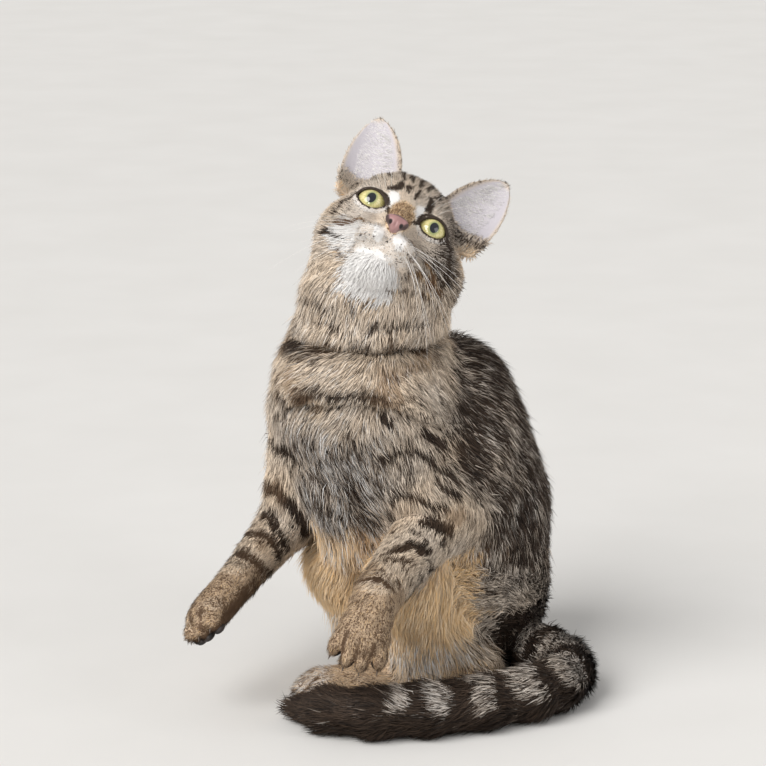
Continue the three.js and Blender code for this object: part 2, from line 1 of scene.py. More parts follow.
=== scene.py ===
import bpy
import numpy as np
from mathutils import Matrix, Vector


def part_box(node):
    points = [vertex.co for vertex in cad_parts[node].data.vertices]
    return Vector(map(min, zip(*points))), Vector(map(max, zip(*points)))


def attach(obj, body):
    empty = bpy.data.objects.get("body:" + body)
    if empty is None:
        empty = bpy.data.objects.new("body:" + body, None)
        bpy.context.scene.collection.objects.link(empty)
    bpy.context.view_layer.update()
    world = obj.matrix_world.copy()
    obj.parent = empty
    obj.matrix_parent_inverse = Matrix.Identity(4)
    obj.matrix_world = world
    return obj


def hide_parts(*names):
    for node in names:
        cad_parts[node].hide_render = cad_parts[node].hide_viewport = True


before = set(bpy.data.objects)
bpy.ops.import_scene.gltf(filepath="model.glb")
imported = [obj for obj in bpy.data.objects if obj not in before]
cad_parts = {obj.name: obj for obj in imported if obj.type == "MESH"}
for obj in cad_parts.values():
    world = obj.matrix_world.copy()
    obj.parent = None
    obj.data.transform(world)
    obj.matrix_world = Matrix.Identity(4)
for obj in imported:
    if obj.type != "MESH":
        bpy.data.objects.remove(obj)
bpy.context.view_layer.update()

# ---------------------------------------------------------------------------------------------
# The body under the coat. A young cat's flesh over its skeleton, sitting on its rump with the
# trunk upright: round muscle masses strung along the bones, each drawn in from the hair tips
# by the depth of the coat that grows on it. Millimetres here, +X to the cat's left.

joints = dict(
    pelvis=(56, 19, 50), loin=(53, 12, 64), ribs=(49, 0, 112), withers=(43, -8, 182),
    belly=(36, -8, 98), breast=(23, -24, 152), collar=(-9, -44, 184),
    neck_base=(-12, -52, 204), nape=(-4, -60, 256),
)
left_limbs = dict(
    shoulder=(9, -66, 188), elbow=(34, -60, 117), wrist=(-3, -122, 87), forepaw=(-13, -143, 65),
    hip=(58, -6, 46), knee=(17, -68, 76), shin=(22, -60, 27), hock=(62, -45, 12.5),
    hindpaw=(-40, -72, 11),
)
right_limbs = dict(
    shoulder=(-40, -34, 175), elbow=(-60, -16, 100), wrist=(-89, -64, 76), forepaw=(-108, -92, 61),
    hip=(58, 40, 46), knee=(-22, 0, 68), shin=(-12, -2, 31), hock=(52, 46, 12.5),
    hindpaw=(-10, -20, 11),
)
left_girths = dict(shoulder=30, elbow=22, wrist=14.5, forepaw=16.5, hip=41, knee=25, shin=21)
right_girths = dict(shoulder=30, elbow=18, wrist=12.5, forepaw=14.5, hip=40, knee=25, shin=23)
HINDPAW_GIRTH = 15
tail_line = [
    (58, 36, 20, 17), (78, 12, 17, 17), (91, -12, 17, 17), (103, -30, 17, 17), (112, -46, 17, 17.5),
    (114, -63, 17, 17.5), (107, -82, 17, 17.5), (90, -99, 17, 17.5), (62, -114, 16.8, 17.2),
    (28, -126, 16.8, 17.2), (-4, -131, 16, 16.3), (-33, -123, 14.5, 14.6), (-52, -105, 9.5, 9),
]
BETWEEN_EYES = np.array((10, -78, 304.0))
HEAD_HEADING, HEAD_RISE, HEAD_ROLL = np.radians((10, 33, 30))
EYE_RADIUS, EYE_SPREAD = 10.7, 18.7


def unit(v):
    v = np.asarray(v, float)
    return v / np.maximum(np.linalg.norm(v, axis=-1, keepdims=True), 1e-9)


def head_axes():
    """To the cat's left, forward out of the face, and up through the crown."""
    forward = np.array((
        np.sin(HEAD_HEADING) * np.cos(HEAD_RISE), -np.cos(HEAD_HEADING) * np.cos(HEAD_RISE),
        np.sin(HEAD_RISE),
    ))
    level = np.array((np.cos(HEAD_HEADING), np.sin(HEAD_HEADING), 0))
    upright = np.cross(forward, level)
    left = level * np.cos(HEAD_ROLL) - upright * np.sin(HEAD_ROLL)
    up = upright * np.cos(HEAD_ROLL) + level * np.sin(HEAD_ROLL)
    return np.array((left, forward, up))


HEAD = head_axes()


def on_head(left, forward, up):
    return BETWEEN_EYES + np.array((left, forward, up)) @ HEAD


def in_head(p):
    return (p - BETWEEN_EYES) @ HEAD.T


# Each kind of coat: how deep it stands over the skin, and its hair's length and width.
coats = dict(
    body=(5.0, 12.5, 0.44), belly=(5.5, 16, 0.46), neck=(5.0, 12, 0.44), skull=(2.2, 6.4, 0.38),
    cheek=(3.2, 9, 0.40), face=(1.1, 4.0, 0.30), muzzle=(0.9, 2.8, 0.28), chin=(2.2, 8, 0.38),
    leg=(2.4, 7.5, 0.40), paw=(1.1, 3.8, 0.36), thigh=(5.0, 15, 0.46), foot=(1.5, 4.8, 0.38),
    tail=(4.5, 12, 0.5),
)
flesh = []


def add_cone(limb, coat, a, b, ra, rb, fillet):
    """A round-ended cone from a to b. Its hair lies the way it runs."""
    a, b = np.array(a, float), np.array(b, float)
    depth = coats[coat][0]
    flesh.append(dict(
        limb=limb, coat=coat, a=a, run=b - a, radii=(ra - depth, rb - depth), fillet=fillet,
    ))


def add_oval(limb, coat, centre, axes, radii, fillet, run=None):
    """An ellipsoid with its radii along three square axes."""
    depth = coats[coat][0]
    flesh.append(dict(
        limb=limb, coat=coat, centre=np.array(centre, float), axes=np.array(axes, float),
        radii=np.array(radii, float) - depth, fillet=fillet, run=run,
    ))


def depth_to(shape, p):
    """Distance from each point to one shape, negative inside."""
    if "a" in shape:
        q = p - shape["a"]
        t = np.clip(q @ shape["run"] / (shape["run"] @ shape["run"]), 0, 1)
        wide = shape["radii"][0] + (shape["radii"][1] - shape["radii"][0]) * t
        return np.linalg.norm(q - t[:, None] * shape["run"], axis=1) - wide
    s = (p - shape["centre"]) @ shape["axes"].T / shape["radii"]
    k = np.linalg.norm(s, axis=1)
    g = np.linalg.norm(s / shape["radii"], axis=1)
    return np.where(g > 1e-9, k * (k - 1) / np.maximum(g, 1e-9), -min(shape["radii"]))


def blend(a, b, width):
    """The nearer of two distances, with the crease between them filled."""
    h = np.clip(0.5 + 0.5 * (b - a) / width, 0, 1)
    return b * (1 - h) + a * h - width * h * (1 - h)


level_axes = np.eye(3)
add_cone("trunk", "body", joints["pelvis"], joints["loin"], 43, 46, 6)
add_oval("trunk", "body", (58, 16, 27), level_axes, (38, 42, 29), 16, run=(0.3, 0.3, -1))
add_cone("trunk", "body", joints["ribs"], joints["loin"], 49, 46, 30)
add_cone("trunk", "body", joints["withers"], joints["ribs"], 34, 49, 30)
add_cone("trunk", "belly", joints["breast"], joints["belly"], 55, 48, 30)
add_cone("trunk", "body", joints["collar"], joints["breast"], 52, 55, 30)
add_cone("trunk", "belly", (-30, -48, 136), (-22, -30, 96), 19, 21, 20)
add_cone("neck", "neck", joints["nape"], joints["neck_base"], 42, 52, 24)
add_cone("neck", "neck", on_head(0, -36, -10), joints["nape"], 36, 42, 16)


def add_head():
    def oval(coat, place, radii, fillet):
        add_oval("head", coat, on_head(*place), HEAD, radii, fillet)

    oval("skull", (0, -32, 4), (36, 40, 33), 12)
    oval("face", (0, -8, 6), (28, 19, 24), 14)
    for side in (1, -1):
        oval("face", (22 * side, -9, -9), (17, 17, 13), 10)
    oval("cheek", (30, -24, -15), (20.5, 24, 20), 12)
    oval("cheek", (-25, -24, -15), (18.5, 24, 20), 12)
    add_cone("head", "muzzle", on_head(0, 24, -14), on_head(0, 6, 2), 6.5, 9.5, 9)
    oval("muzzle", (0, 10, -24), (14, 15, 11), 8)
    for side in (1, -1):
        oval("muzzle", (8.3 * side, 17, -25), (11.3, 12.5, 8), 3)
    oval("chin", (0, 12, -35.5), (10, 9.5, 7.5), 3)
    oval("cheek", (0, -8, -30), (22, 26, 15), 12)
    oval("cheek", (0, 2, -36), (15, 18, 11.5), 10)
    oval("muzzle", (0, 28.3, -17.5), (6.3, 3.8, 4.6), 3)


def paw_frame(start, end, across):
    """The middle of a paw's palm, and its directions ahead, across and out of its back."""
    ahead = unit(np.subtract(end, start))
    side = unit(np.asarray(across, float) - ahead * np.dot(across, ahead))
    return np.asarray(end) - ahead * 3, ahead, side, np.cross(ahead, side)


def toes(paw, r):
    """The middle and directions of each of the four toes, fanned round the palm's front end."""
    palm, ahead, side, back = paw
    for step in (-1.5, -0.5, 0.5, 1.5):
        reach = 0.35 if abs(step) > 1 else 0.62
        centre = palm + ahead * reach * r + side * step * r * 0.52 - back * 0.18 * r
        yield centre, (unit(ahead + side * step * 0.12), unit(side - ahead * step * 0.12), back)


def add_paw(limb, coat, paw, r):
    palm, ahead, side, back = paw
    add_oval(limb, coat, palm, (ahead, side, back), (r * 0.95, r * 1.02, r * 0.82), 5, run=ahead)
    for centre, axes in toes(paw, r):
        add_oval(limb, coat, centre, axes, (r * 0.62, r * 0.34, r * 0.54), 1.0, run=axes[0])


def part_way(a, b, t):
    return np.asarray(a, float) * (1 - t) + np.asarray(b, float) * t


paws = {}
for side, at, across in (
    ("left", left_limbs, (1, 0.1, 0)), ("right", right_limbs, (0.35, -0.8, 0.35)),
):
    flat_across = np.cross((0, 0, 1), np.subtract(at["hindpaw"], at["hock"]))
    paws[f"forepaw_{side}"] = paw_frame(at["wrist"], at["forepaw"], across)
    paws[f"hind_foot_{side}"] = paw_frame(at["hock"], at["hindpaw"], flat_across)


def add_legs():
    for side, at, girth in (
        ("left", left_limbs, left_girths), ("right", right_limbs, right_girths),
    ):
        leg, foot = f"hindleg_{side}", f"hind_foot_{side}"
        knee_girth = girth["knee"]
        add_cone(leg, "thigh", at["hip"], at["knee"], girth["hip"], knee_girth, 20)
        add_cone(leg, "thigh", at["knee"], at["shin"], knee_girth - 1, girth["shin"], 14)
        add_cone(leg, "thigh", at["knee"], at["hock"], knee_girth - 1, 14, 12)
        instep = part_way(at["hock"], at["hindpaw"], 0.86)
        add_cone(foot, "foot", at["hock"], instep, 13.5, 12.5, 8)
        add_paw(foot, "foot", paws[foot], HINDPAW_GIRTH)


def add_forelegs():
    for side, at, girth in (
        ("left", left_limbs, left_girths), ("right", right_limbs, right_girths),
    ):
        leg, paw = f"foreleg_{side}", f"forepaw_{side}"
        add_cone(leg, "body", at["shoulder"], at["elbow"], girth["shoulder"], girth["elbow"], 18)
        add_cone(leg, "leg", at["elbow"], at["wrist"], girth["elbow"], girth["wrist"], 4)
        palm = part_way(at["wrist"], at["forepaw"], 0.65)
        add_cone(paw, "paw", at["wrist"], palm, girth["wrist"], girth["wrist"] + 0.5, 4)
        add_paw(paw, "paw", paws[paw], girth["forepaw"])


def add_tail():
    for i, (a, b) in enumerate(zip(tail_line, tail_line[1:])):
        add_cone("tail", "tail", a[:3], b[:3], a[3], b[3], 10 if i == 0 else 5)


add_head()
add_legs()
add_tail()
add_forelegs()

# ---------------------------------------------------------------------------------------------
# The skin, one closed surface over all the flesh. Loose folds lie round the neck and across the
# chest, the lids stand round the eyeballs, the mouth is a closed line under the nose, and the
# ears are thin cupped sheets of gristle with skin on both sides.

LID_THICK, LID_HALF_WIDTH, LID_HALF_HEIGHT = 1.4, 8.8, 5.6
LID_TILT = np.radians(4)
EAR_HALF_WIDTH, EAR_CUP, EAR_HALF_THICK = 17.5, 12, 1.1
LIP_CREASE, PHILTRUM_CREASE = 0.95, 0.5
EYE_GAP = 0.15             # between the eyeball and the lids that slide on it
HEAD_FROM, HEAD_BEHIND = 215, 20  # the head is over the one, and in front of the other
ears = dict(
    ear_left=((21, -14, 32), (46, -14, 9), (47.5, -30, 65)),
    ear_right=((-15, -14, 34), (-40, -14, 9), (-39, -30, 67.5)),
)
mouth_line = (
    (0, 26.5, -28.4), (4, 25, -31.6), (8, 22.5, -33.2), (13, 17.5, -34.3), (16.5, 14, -34.0),
)
philtrum = ((0, 33.5, -21), (0, 28, -27.8))


def smooth_step(lo, hi, x):
    t = np.clip((x - lo) / (hi - lo), 0, 1)
    return t * t * (3 - 2 * t)


def off_line(q, points):
    """Distance from each point to a line of straight lengths."""
    best = np.full(len(q), 1e3)
    for a, b in zip(np.array(points[:-1], float), np.array(points[1:], float)):
        t = np.clip((q - a) @ (b - a) / ((b - a) @ (b - a)), 0, 1)
        best = np.minimum(best, np.linalg.norm(q - a - t[:, None] * (b - a), axis=1))
    return best


def off_mouth(m):
    """Distance from the line of the closed lips. How deep it lies counts for less than half."""
    squash = np.array((1, 0.4, 1))
    return off_line(m * squash, np.array(mouth_line) * squash)


def ear_place(q, inner, outer, tip):
    """In one ear's sheet: across it from -1 to 1, up it from 0 to 1, how far in front of the
    middle of its thickness, its half width there, and its height."""
    inner, outer, tip = (np.array(v, float) for v in (inner, outer, tip))
    root = (inner + outer) / 2
    height = np.linalg.norm(tip - root)
    axis = unit(tip - root)
    front = np.array((0.3 * np.sign(outer[0]), 0.9, 0.25))
    front = unit(front - axis * (front @ axis))
    side = np.cross(front, axis)
    side = side if side @ (outer - inner) > 0 else -side
    x, y, z = ((q - root) @ v for v in (side, front, axis))
    t = z / height
    within = np.clip(t, 0, 1)
    half = EAR_HALF_WIDTH * np.maximum(1 - within ** 2.2, 0) ** 0.75 + 0.8
    cup = EAR_CUP * (1 - within) + 0.5
    sheet = -cup * (1 - (x / half) ** 2)
    slant = np.minimum(np.sqrt(1 + (2 * cup * x / half ** 2) ** 2), 3)
    return x / half, t, (y - sheet) / slant, half, height


def ear_distance(q, corners):
    across, t, ahead, half, height = ear_place(q, *corners)
    thick = np.abs(ahead) - EAR_HALF_THICK
    edge = np.maximum((np.abs(across) - 1) * half * 0.85, (t - 1) * height)
    inside = np.minimum(np.maximum(thick, edge), 0)
    return np.maximum(inside + np.hypot(np.maximum(thick, 0), np.maximum(edge, 0)), -t * height - 10)


def eye_frame():
    """Along the lids' line, up across it, and out along the gaze, for the left eye."""
    gaze = unit((0.16, 1, 0.02))
    up = unit(np.array((0, 0, 1.0)) - gaze * gaze[2])
    out = np.cross(gaze, up)
    out = out if out[0] > 0 else -out
    along = out * np.cos(LID_TILT) + up * np.sin(LID_TILT)
    return along, up * np.cos(LID_TILT) - out * np.sin(LID_TILT), gaze


EYE = np.array(eye_frame())
EYE_MIDDLE = np.array((EYE_SPREAD, 0, 0))


def both_sides(q):
    """Folds the head's right half over on its left."""
    return np.column_stack((np.abs(q[:, 0]), q[:, 1], q[:, 2]))


def off_opening(m):
    """Distance from the edge of the almond opening between the lids, seen along the gaze."""
    x, y, z = (EYE @ (m - EYE_MIDDLE).T)
    arc = (LID_HALF_WIDTH ** 2 + LID_HALF_HEIGHT ** 2) / (2 * LID_HALF_HEIGHT)
    drop = arc - LID_HALF_HEIGHT
    lens = np.maximum(np.hypot(x, y + drop) - arc, np.hypot(x, y - drop) - arc)
    return np.maximum(lens, -z), x, y


neck_crease = ((-60, -48, 0, 24, 50), (228, 229, 229, 228.5, 234))
chest_fold = ((-60, -52, -43, -25, -8, 10, 34, 50), (190, 196, 201, 202.5, 202, 199, 184, 172))
FOLD_DEPTH, CREASE_DEPTH = 8.0, 5.0


def folds(p):
    """How far the loose skin stands out over the flesh at each point."""
    x, y, z = p.T
    ahead = smooth_step(-45, -75, y)
    over_crease = z - np.interp(x, *neck_crease)
    crease = -CREASE_DEPTH * np.exp(-(over_crease / 2.6) ** 2)
    crease += 2.5 * np.exp(-((over_crease - 9) / 6) ** 2)
    over_fold = z - np.interp(x, *chest_fold)
    fold = FOLD_DEPTH * smooth_step(-2.5, 1.5, over_fold)
    fold *= np.exp(-(np.maximum(over_fold, 0) / 18) ** 2)
    fold -= 2.0 * np.exp(-((over_fold + 6) / 6) ** 2)
    fold *= smooth_step(-62, -50, x) * smooth_step(42, 22, x)
    pocket = -7 * np.exp(-(np.linalg.norm((p - (-46, -93, 192)) / (7, 14, 8), axis=1)) ** 2)
    return (crease + fold + pocket) * ahead


def skin_distance(p):
    d = np.full(len(p), 1e3)
    for shape in flesh:
        d = blend(d, depth_to(shape, p), shape["fillet"])
    d = d - folds(p)
    high = np.flatnonzero((p[:, 2] > HEAD_FROM) & (p[:, 1] < HEAD_BEHIND))
    if len(high):
        q, e = in_head(p[high]), d[high]
        m = both_sides(q)
        off_eye = np.linalg.norm(m - EYE_MIDDLE, axis=1)
        e = blend(e, off_eye - EYE_RADIUS - LID_THICK, 3)
        for corners in ears.values():
            e = blend(e, ear_distance(q, corners), 4)
        opening = off_opening(m)[0]
        e = -blend(-e, opening, 0.8)
        e = np.maximum(e, EYE_RADIUS + EYE_GAP - off_eye)
        e = -blend(-e, off_mouth(m) - LIP_CREASE, 1.0)
        e = -blend(-e, off_line(m, philtrum) - PHILTRUM_CREASE, 1.0)
        d[high] = e
    return d


def graded(lo, fine_lo, fine_hi, hi, fine=0.9, coarse=2.4):
    """Places along one axis, close together over the head."""
    places = np.concatenate((
        np.arange(lo, fine_lo, coarse), np.arange(fine_lo, fine_hi, fine),
        np.arange(fine_hi, hi + 5 * coarse, coarse),
    ))
    return places[:(len(places) - 1) // 4 * 4 + 1]


BATCH = 60000              # points worked on at one time


def in_batches(points):
    return np.array_split(points, len(points) // BATCH + 1)


def surface_of(distance, axes):
    """A closed mesh of four-sided faces through the zero of a distance, one corner to each cell
    that the surface crosses. Only blocks of cells near the surface are looked at closely."""
    size = [len(a) for a in axes]
    rough_axes = [a[::4] for a in axes]
    rough = distance(np.stack(np.meshgrid(*rough_axes, indexing="ij"), -1).reshape(-1, 3))
    rough = rough.reshape([len(a) for a in rough_axes])
    spans = np.meshgrid(*[np.diff(a) for a in rough_axes], indexing="ij")
    reach = np.sqrt(sum(s ** 2 for s in spans))
    corner = [slice(None, -1), slice(1, None)]
    least = np.full(reach.shape, 1e9)
    for i in range(8):
        least = np.minimum(least, np.abs(rough[corner[i & 1], corner[i >> 1 & 1], corner[i >> 2]]))
    near = np.zeros(size, bool)
    block = least < reach
    for axis in range(3):
        block = np.repeat(block, 4, axis=axis)
    for i in range(8):
        lo = [i & 1, i >> 1 & 1, i >> 2]
        window = tuple(slice(o, o + n) for o, n in zip(lo, block.shape))
        near[window] |= block
    field = rough
    for axis in range(3):
        field = np.repeat(field, 4, axis=axis)
    field = field[:size[0], :size[1], :size[2]].astype(np.float32)
    found = np.argwhere(near)
    for part in in_batches(found):
        places = np.stack([axes[i][part[:, i]] for i in range(3)], 1)
        field[tuple(part.T)] = distance(places)
    cells = np.array(size) - 1
    total, count, quads = np.zeros((cells.prod(), 3)), np.zeros(cells.prod()), []
    inside = field < 0
    for a in range(3):
        b, c = (a + 1) % 3, (a + 2) % 3
        lo, hi = [slice(None)] * 3, [slice(None)] * 3
        lo[a], hi[a] = slice(None, -1), slice(1, None)
        edge = np.argwhere(inside[tuple(lo)] != inside[tuple(hi)])
        fits = (edge[:, b] > 0) & (edge[:, b] < cells[b]) & (edge[:, c] > 0) & (edge[:, c] < cells[c])
        edge = edge[fits]
        beyond = edge.copy()
        beyond[:, a] += 1
        here, there = field[tuple(edge.T)], field[tuple(beyond.T)]
        place = np.stack([axes[i][edge[:, i]] for i in range(3)], 1)
        place[:, a] += here / (here - there) * (axes[a][beyond[:, a]] - axes[a][edge[:, a]])
        around = []
        for db, dc in ((-1, -1), (0, -1), (0, 0), (-1, 0)):
            cell = edge.copy()
            cell[:, b] += db
            cell[:, c] += dc
            index = np.ravel_multi_index(tuple(cell.T), tuple(cells))
            for i in range(3):
                total[:, i] += np.bincount(index, place[:, i], len(count))
            count += np.bincount(index, minlength=len(count))
            around.append(index)
        quad = np.stack(around, 1)
        quad[here > 0] = quad[here > 0][:, ::-1]
        quads.append(quad)
    used = np.flatnonzero(count)
    number = np.full(len(count), -1)
    number[used] = np.arange(len(used))
    return total[used] / count[used][:, None], number[np.concatenate(quads)]


def face_areas(points, faces):
    """The way that each four-sided face looks, as long as twice its area."""
    a, b, c, d = points[faces].transpose(1, 0, 2)
    return np.cross(c - a, d - b)


def corner_normals(points, faces):
    across = face_areas(points, faces)
    normals = np.zeros_like(points)
    for i in range(3):
        for corner in faces.T:
            normals[:, i] += np.bincount(corner, across[:, i], len(points))
    return unit(normals)


def settled(distance, points, faces, furthest):
    """Moves the corners along their normals on to the surface itself."""
    for _ in range(2):
        off = np.concatenate([distance(part) for part in in_batches(points)])
        points = points - corner_normals(points, faces) * np.clip(off, -furthest, furthest)[:, None]
    return points


skin_axes = (
    graded(-126, -60, 76, 138), graded(-176, -134, -10, 100), graded(-2.4, 238, 368, 372),
)
skin_points, skin_faces = surface_of(skin_distance, skin_axes)
skin_points = settled(skin_distance, skin_points, skin_faces, 0.6)
skin_points[:, 2] = np.maximum(skin_points[:, 2], 0.4)
skin_normals = corner_normals(skin_points, skin_faces)

# ---------------------------------------------------------------------------------------------
# The lie and the markings of the coat, worked out from places on the body, so that the skin and
# every tuft of hair on it agree. Ticked brown-grey with near-black bars, an orange-buff belly,
# a white chin and throat, and a tail ringed in black and silver.

NOSE_TIP = np.array((0, 36, -18.0))
SHARED_OVER = 3.5          # how far one shape's coat runs on into the next one's
TURN = 6.283


def cloud(p, size, seed):
    """A smooth random number over the body, about -1 to 1, in patches of about a size."""
    dice = np.random.default_rng(seed)
    waves = dice.normal(size=(14, 3)) * 2.2 / size
    return np.sin(p @ waves.T + dice.uniform(0, 6.28, 14)).sum(axis=1) / 3.2


def shares(p):
    """How much each shape of the flesh has to do with the skin at each point."""
    near = np.stack([np.maximum(depth_to(shape, p), 0) for shape in flesh], 1)
    weight = np.exp(-near / SHARED_OVER) + 1e-12
    return weight / weight.sum(axis=1, keepdims=True)


def of_limb(weight, *names):
    return sum(weight[:, i] for i, shape in enumerate(flesh) if shape["limb"] in names)


def laid_on(way, normals):
    """Directions pressed down on to the skin."""
    return way - normals * np.sum(way * normals, axis=1, keepdims=True)


def lie_of_hair(p, normals, weight):
    """The way that the hair lies on the skin: out from the nose on the head, then along the
    bones towards the feet and the tail's tip."""
    way = np.zeros_like(p)
    from_nose = unit(in_head(p) - NOSE_TIP) @ HEAD
    for i, shape in enumerate(flesh):
        if shape["limb"] == "head":
            run = from_nose
        elif "a" in shape:
            run = unit(shape["run"])
        else:
            run = unit(shape["run"]) if shape["run"] is not None else np.array((0, 0, -1.0))
        way += weight[:, i:i + 1] * run
    way = unit(laid_on(way, normals))
    turn = np.radians(14) * cloud(p, 22, 5) + np.radians(7) * cloud(p, 6, 6)
    return way * np.cos(turn)[:, None] + np.cross(normals, way) * np.sin(turn)[:, None]


def stroke(p, normals, points, width, soft=1.2):
    """A painted line: 1 along it, falling off at its edges. It is painted on the skin, so what
    lies over or under it counts for little."""
    best = np.full(len(p), 1e3)
    for a, b in zip(np.array(points[:-1], float), np.array(points[1:], float)):
        t = np.clip((p - a) @ (b - a) / ((b - a) @ (b - a)), 0, 1)
        off = p - a - t[:, None] * (b - a)
        off -= normals * 0.75 * np.sum(off * normals, axis=1, keepdims=True)
        best = np.minimum(best, np.linalg.norm(off, axis=1))
    return 1 - smooth_step(width / 2 - soft, width / 2 + soft, best)


face_strokes = (  # black lines in the head's own left, forward and up
    (((-13.5, 10, 12), (-8.9, 9.7, 17.6)), 4.8), (((-3.4, 12, 14.2), (-3.5, 9.8, 19.4)), 2.8),
    (((2.3, 14, 11), (2.4, 12, 15), (3.5, 9.4, 20)), 2.0), (((13.7, 10.5, 9.5), (12.6, 8.8, 17)), 5.2),
    (((-27, 5, 2.4), (-32.7, 1.9, -0.5), (-36.7, -0.4, -3.7), (-37.1, 1, -10), (-39, -2, -13.5)), 3.0),
    (((28, 5, 0.8), (34.3, 2.2, -2.1), (38.4, 1.4, -9.1), (41.2, -1.5, -15), (42, -5, -24)), 3.6),
    (((-41, -15, -24), (-36.5, -7, -24.8), (-28, -1.4, -27.3)), 3.4),
    (((-16, 4, 21), (-19, -8, 29)), 2.6), (((-9, 6, 22), (-10, -6, 30)), 2.8),
    (((-3, 6.5, 24), (-4, -6, 31)), 2.6), (((2.5, 7, 23.5), (3, -6, 32)), 2.6),
    (((8, 6.5, 22.5), (9, -6, 31)), 2.8), (((14, 5, 21), (16, -7, 29)), 2.6),
)
cheek_strokes = (  # brown streaks
    (((-29, 3.8, -18.8), (-24.3, 6.8, -16.2)), 2.4),
    (((-24, 7, -16), (-19, 9, -15), (-13.5, 19, -17)), 2.4),
    (((-13, 22, -21.5), (-21, 11, -20)), 2.0), (((-36, -2, -20), (-31, 2, -17)), 2.2),
    (((-32, -9.5, -32), (-25, -5, -37), (-18.7, -2, -41.5)), 3.6), (((12, 23, -20), (20, 14, -17)), 2.2),
    (((13, 22, -23), (23, 10, -22)), 2.2), (((14, 20, -27), (24, 8, -28)), 2.4),
    (((26, 4, -20), (34, -3, -24)), 2.8), (((27, 0.5, -28.8), (34, -4, -29), (42, -9, -28.8)), 4.6),
    (((14.8, 0.2, -47), (24, -3, -42), (34.7, -6.7, -35.8)), 4.6), (((24, 3, -33), (36, -8, -42)), 3.0),
    (((-25, -16, -52.5), (-16, -9.7, -54)), 3.0), (((-36, -14, -38), (-27, -12, -46)), 3.0),
)
leg_bars = (  # near-black bars that cross the legs, in the body's own frame
    (((-1, -96, 156), (5, -97, 161), (16, -97, 165), (24, -96, 164)), 5.5),
    (((4, -84, 130), (10, -88, 135), (19, -89, 135), (28, -88, 129), (38, -86, 128)), 6.6),
    (((24, -94, 123), (33, -91, 119), (41, -87, 114)), 6.9),
    (((8, -110, 111), (17, -107, 113), (27, -105, 107)), 6.4),
    (((27, -96, 176), (38, -89, 166)), 5.2), (((25, -95, 163), (37, -90, 151), (48, -84, 143)), 5.5),
    (((38, -86, 140), (46, -80, 134)), 4.8), (((2, -118, 105), (14, -114, 104)), 3.4),
    (((-16, -126, 97), (0, -131, 98), (6, -132, 92)), 3.4),
    (((-68, -43, 152), (-60, -56, 154), (-52, -57, 147)), 6.6),
    (((-74, -28, 122), (-66, -40, 121), (-58.6, -42, 116), (-53, -38, 108), (-48, -32, 95)), 9.9),
    (((-82, -26, 110), (-70, -39, 106), (-64, -46, 99), (-60, -46, 90)), 6.0),
    (((-87, -38, 98), (-77, -47, 101), (-68, -51, 95), (-64, -51, 85)), 5.5),
    (((-92, -56, 92), (-83, -64, 92), (-75, -64, 84)), 4.5),
)
bands_and_fold_shadows = (  # dark bands across the throat and chest, and painted shadow along the neck crease, under the chest fold and in the pocket beside it
    (((-60, -62, 225), (-56, -70, 225), (-49, -84, 227)), 6.0),
    (((-48, -84, 228), (-31, -97, 229.5), (-18, -102, 228.5), (16, -97, 229.5), (36, -78, 229.5)), 5.0),
    (((-38, -88, 252), (-26, -96, 247)), 3.0), (((0, -104, 243), (28, -92, 242)), 3.2),
    (((-53, -87, 196), (-42, -96, 200.5), (-28, -102, 201), (-10, -105, 200.5), (6, -104, 196)), 4.4),
    (((-30, -102, 195), (-10, -105, 194), (2, -105, 188), (10, -103, 181)), 3.4),
    (((-46, -93, 198), (-46, -92, 189)), 8.0), (((12, -102, 191), (24, -98, 183)), 3.4),
    (((-66, -62, 196), (-58, -76, 192)), 7.0),
)
both_sides_white = (  # by the inner corner of each eye, and on each pad of the upper lip
    ((8.7, 14.5, 5.0), (3.8, 9, 6.8), 0.75, 1.15, 0.97),
    ((7.0, 28, -24.3), (4.8, 7, 4.6), 0.75, 1.15, 0.97),
    ((10, 20, -26), (12, 13, 9.5), 0.8, 1.25, 0.45),
)
white_patches = (  # on the chin, under the lip, on the throat and on the right cheek
    ((-2, 8, -43), (18, 18, 12.5), 0.75, 1.25, 0.98),
    ((-4, 16, -37.5), (12, 11, 6), 0.8, 1.2, 0.9),
    ((-4, -4, -49), (21, 18, 13), 0.7, 1.3, 0.95),
    ((-26, 0, -27), (14, 15, 14), 0.6, 1.25, 0.85),
)
pale_strokes = (
    (((-52, -86, 187), (-36, -95, 174), (-34, -88, 160), (-32, -72, 143), (-20, -55, 118)), 3.6),
    (((-18, -90, 160), (-10, -80, 136)), 5.0),
)


def on_foreleg(p, at):
    """How far down the foreleg from its elbow, in millimetres."""
    elbow, wrist = np.array(at["elbow"], float), np.array(at["wrist"], float)
    return (p - elbow) @ unit(wrist - elbow)


def on_tail(p):
    """How far along the tail from its root."""
    line = np.array(tail_line, float)[:, :3]
    run, best, place = 0.0, np.full(len(p), 1e9), np.zeros(len(p))
    for a, b in zip(line, line[1:]):
        length = np.linalg.norm(b - a)
        t = np.clip((p - a) @ (b - a) / length ** 2, 0, 1)
        off = np.linalg.norm(p - a - t[:, None] * (b - a), axis=1)
        place = np.where(off < best, run + t * length, place)
        best, run = np.minimum(best, off), run + length
    return place


def patch(p, middle, radii, inner, outer):
    """An oval patch: 1 in it, falling to 0 between two parts of its radii."""
    return 1 - smooth_step(inner, outer, np.linalg.norm((p - middle) / radii, axis=1))


def over(under, top):
    """One mask laid over another."""
    return 1 - (1 - under) * (1 - np.clip(top, 0, 1))


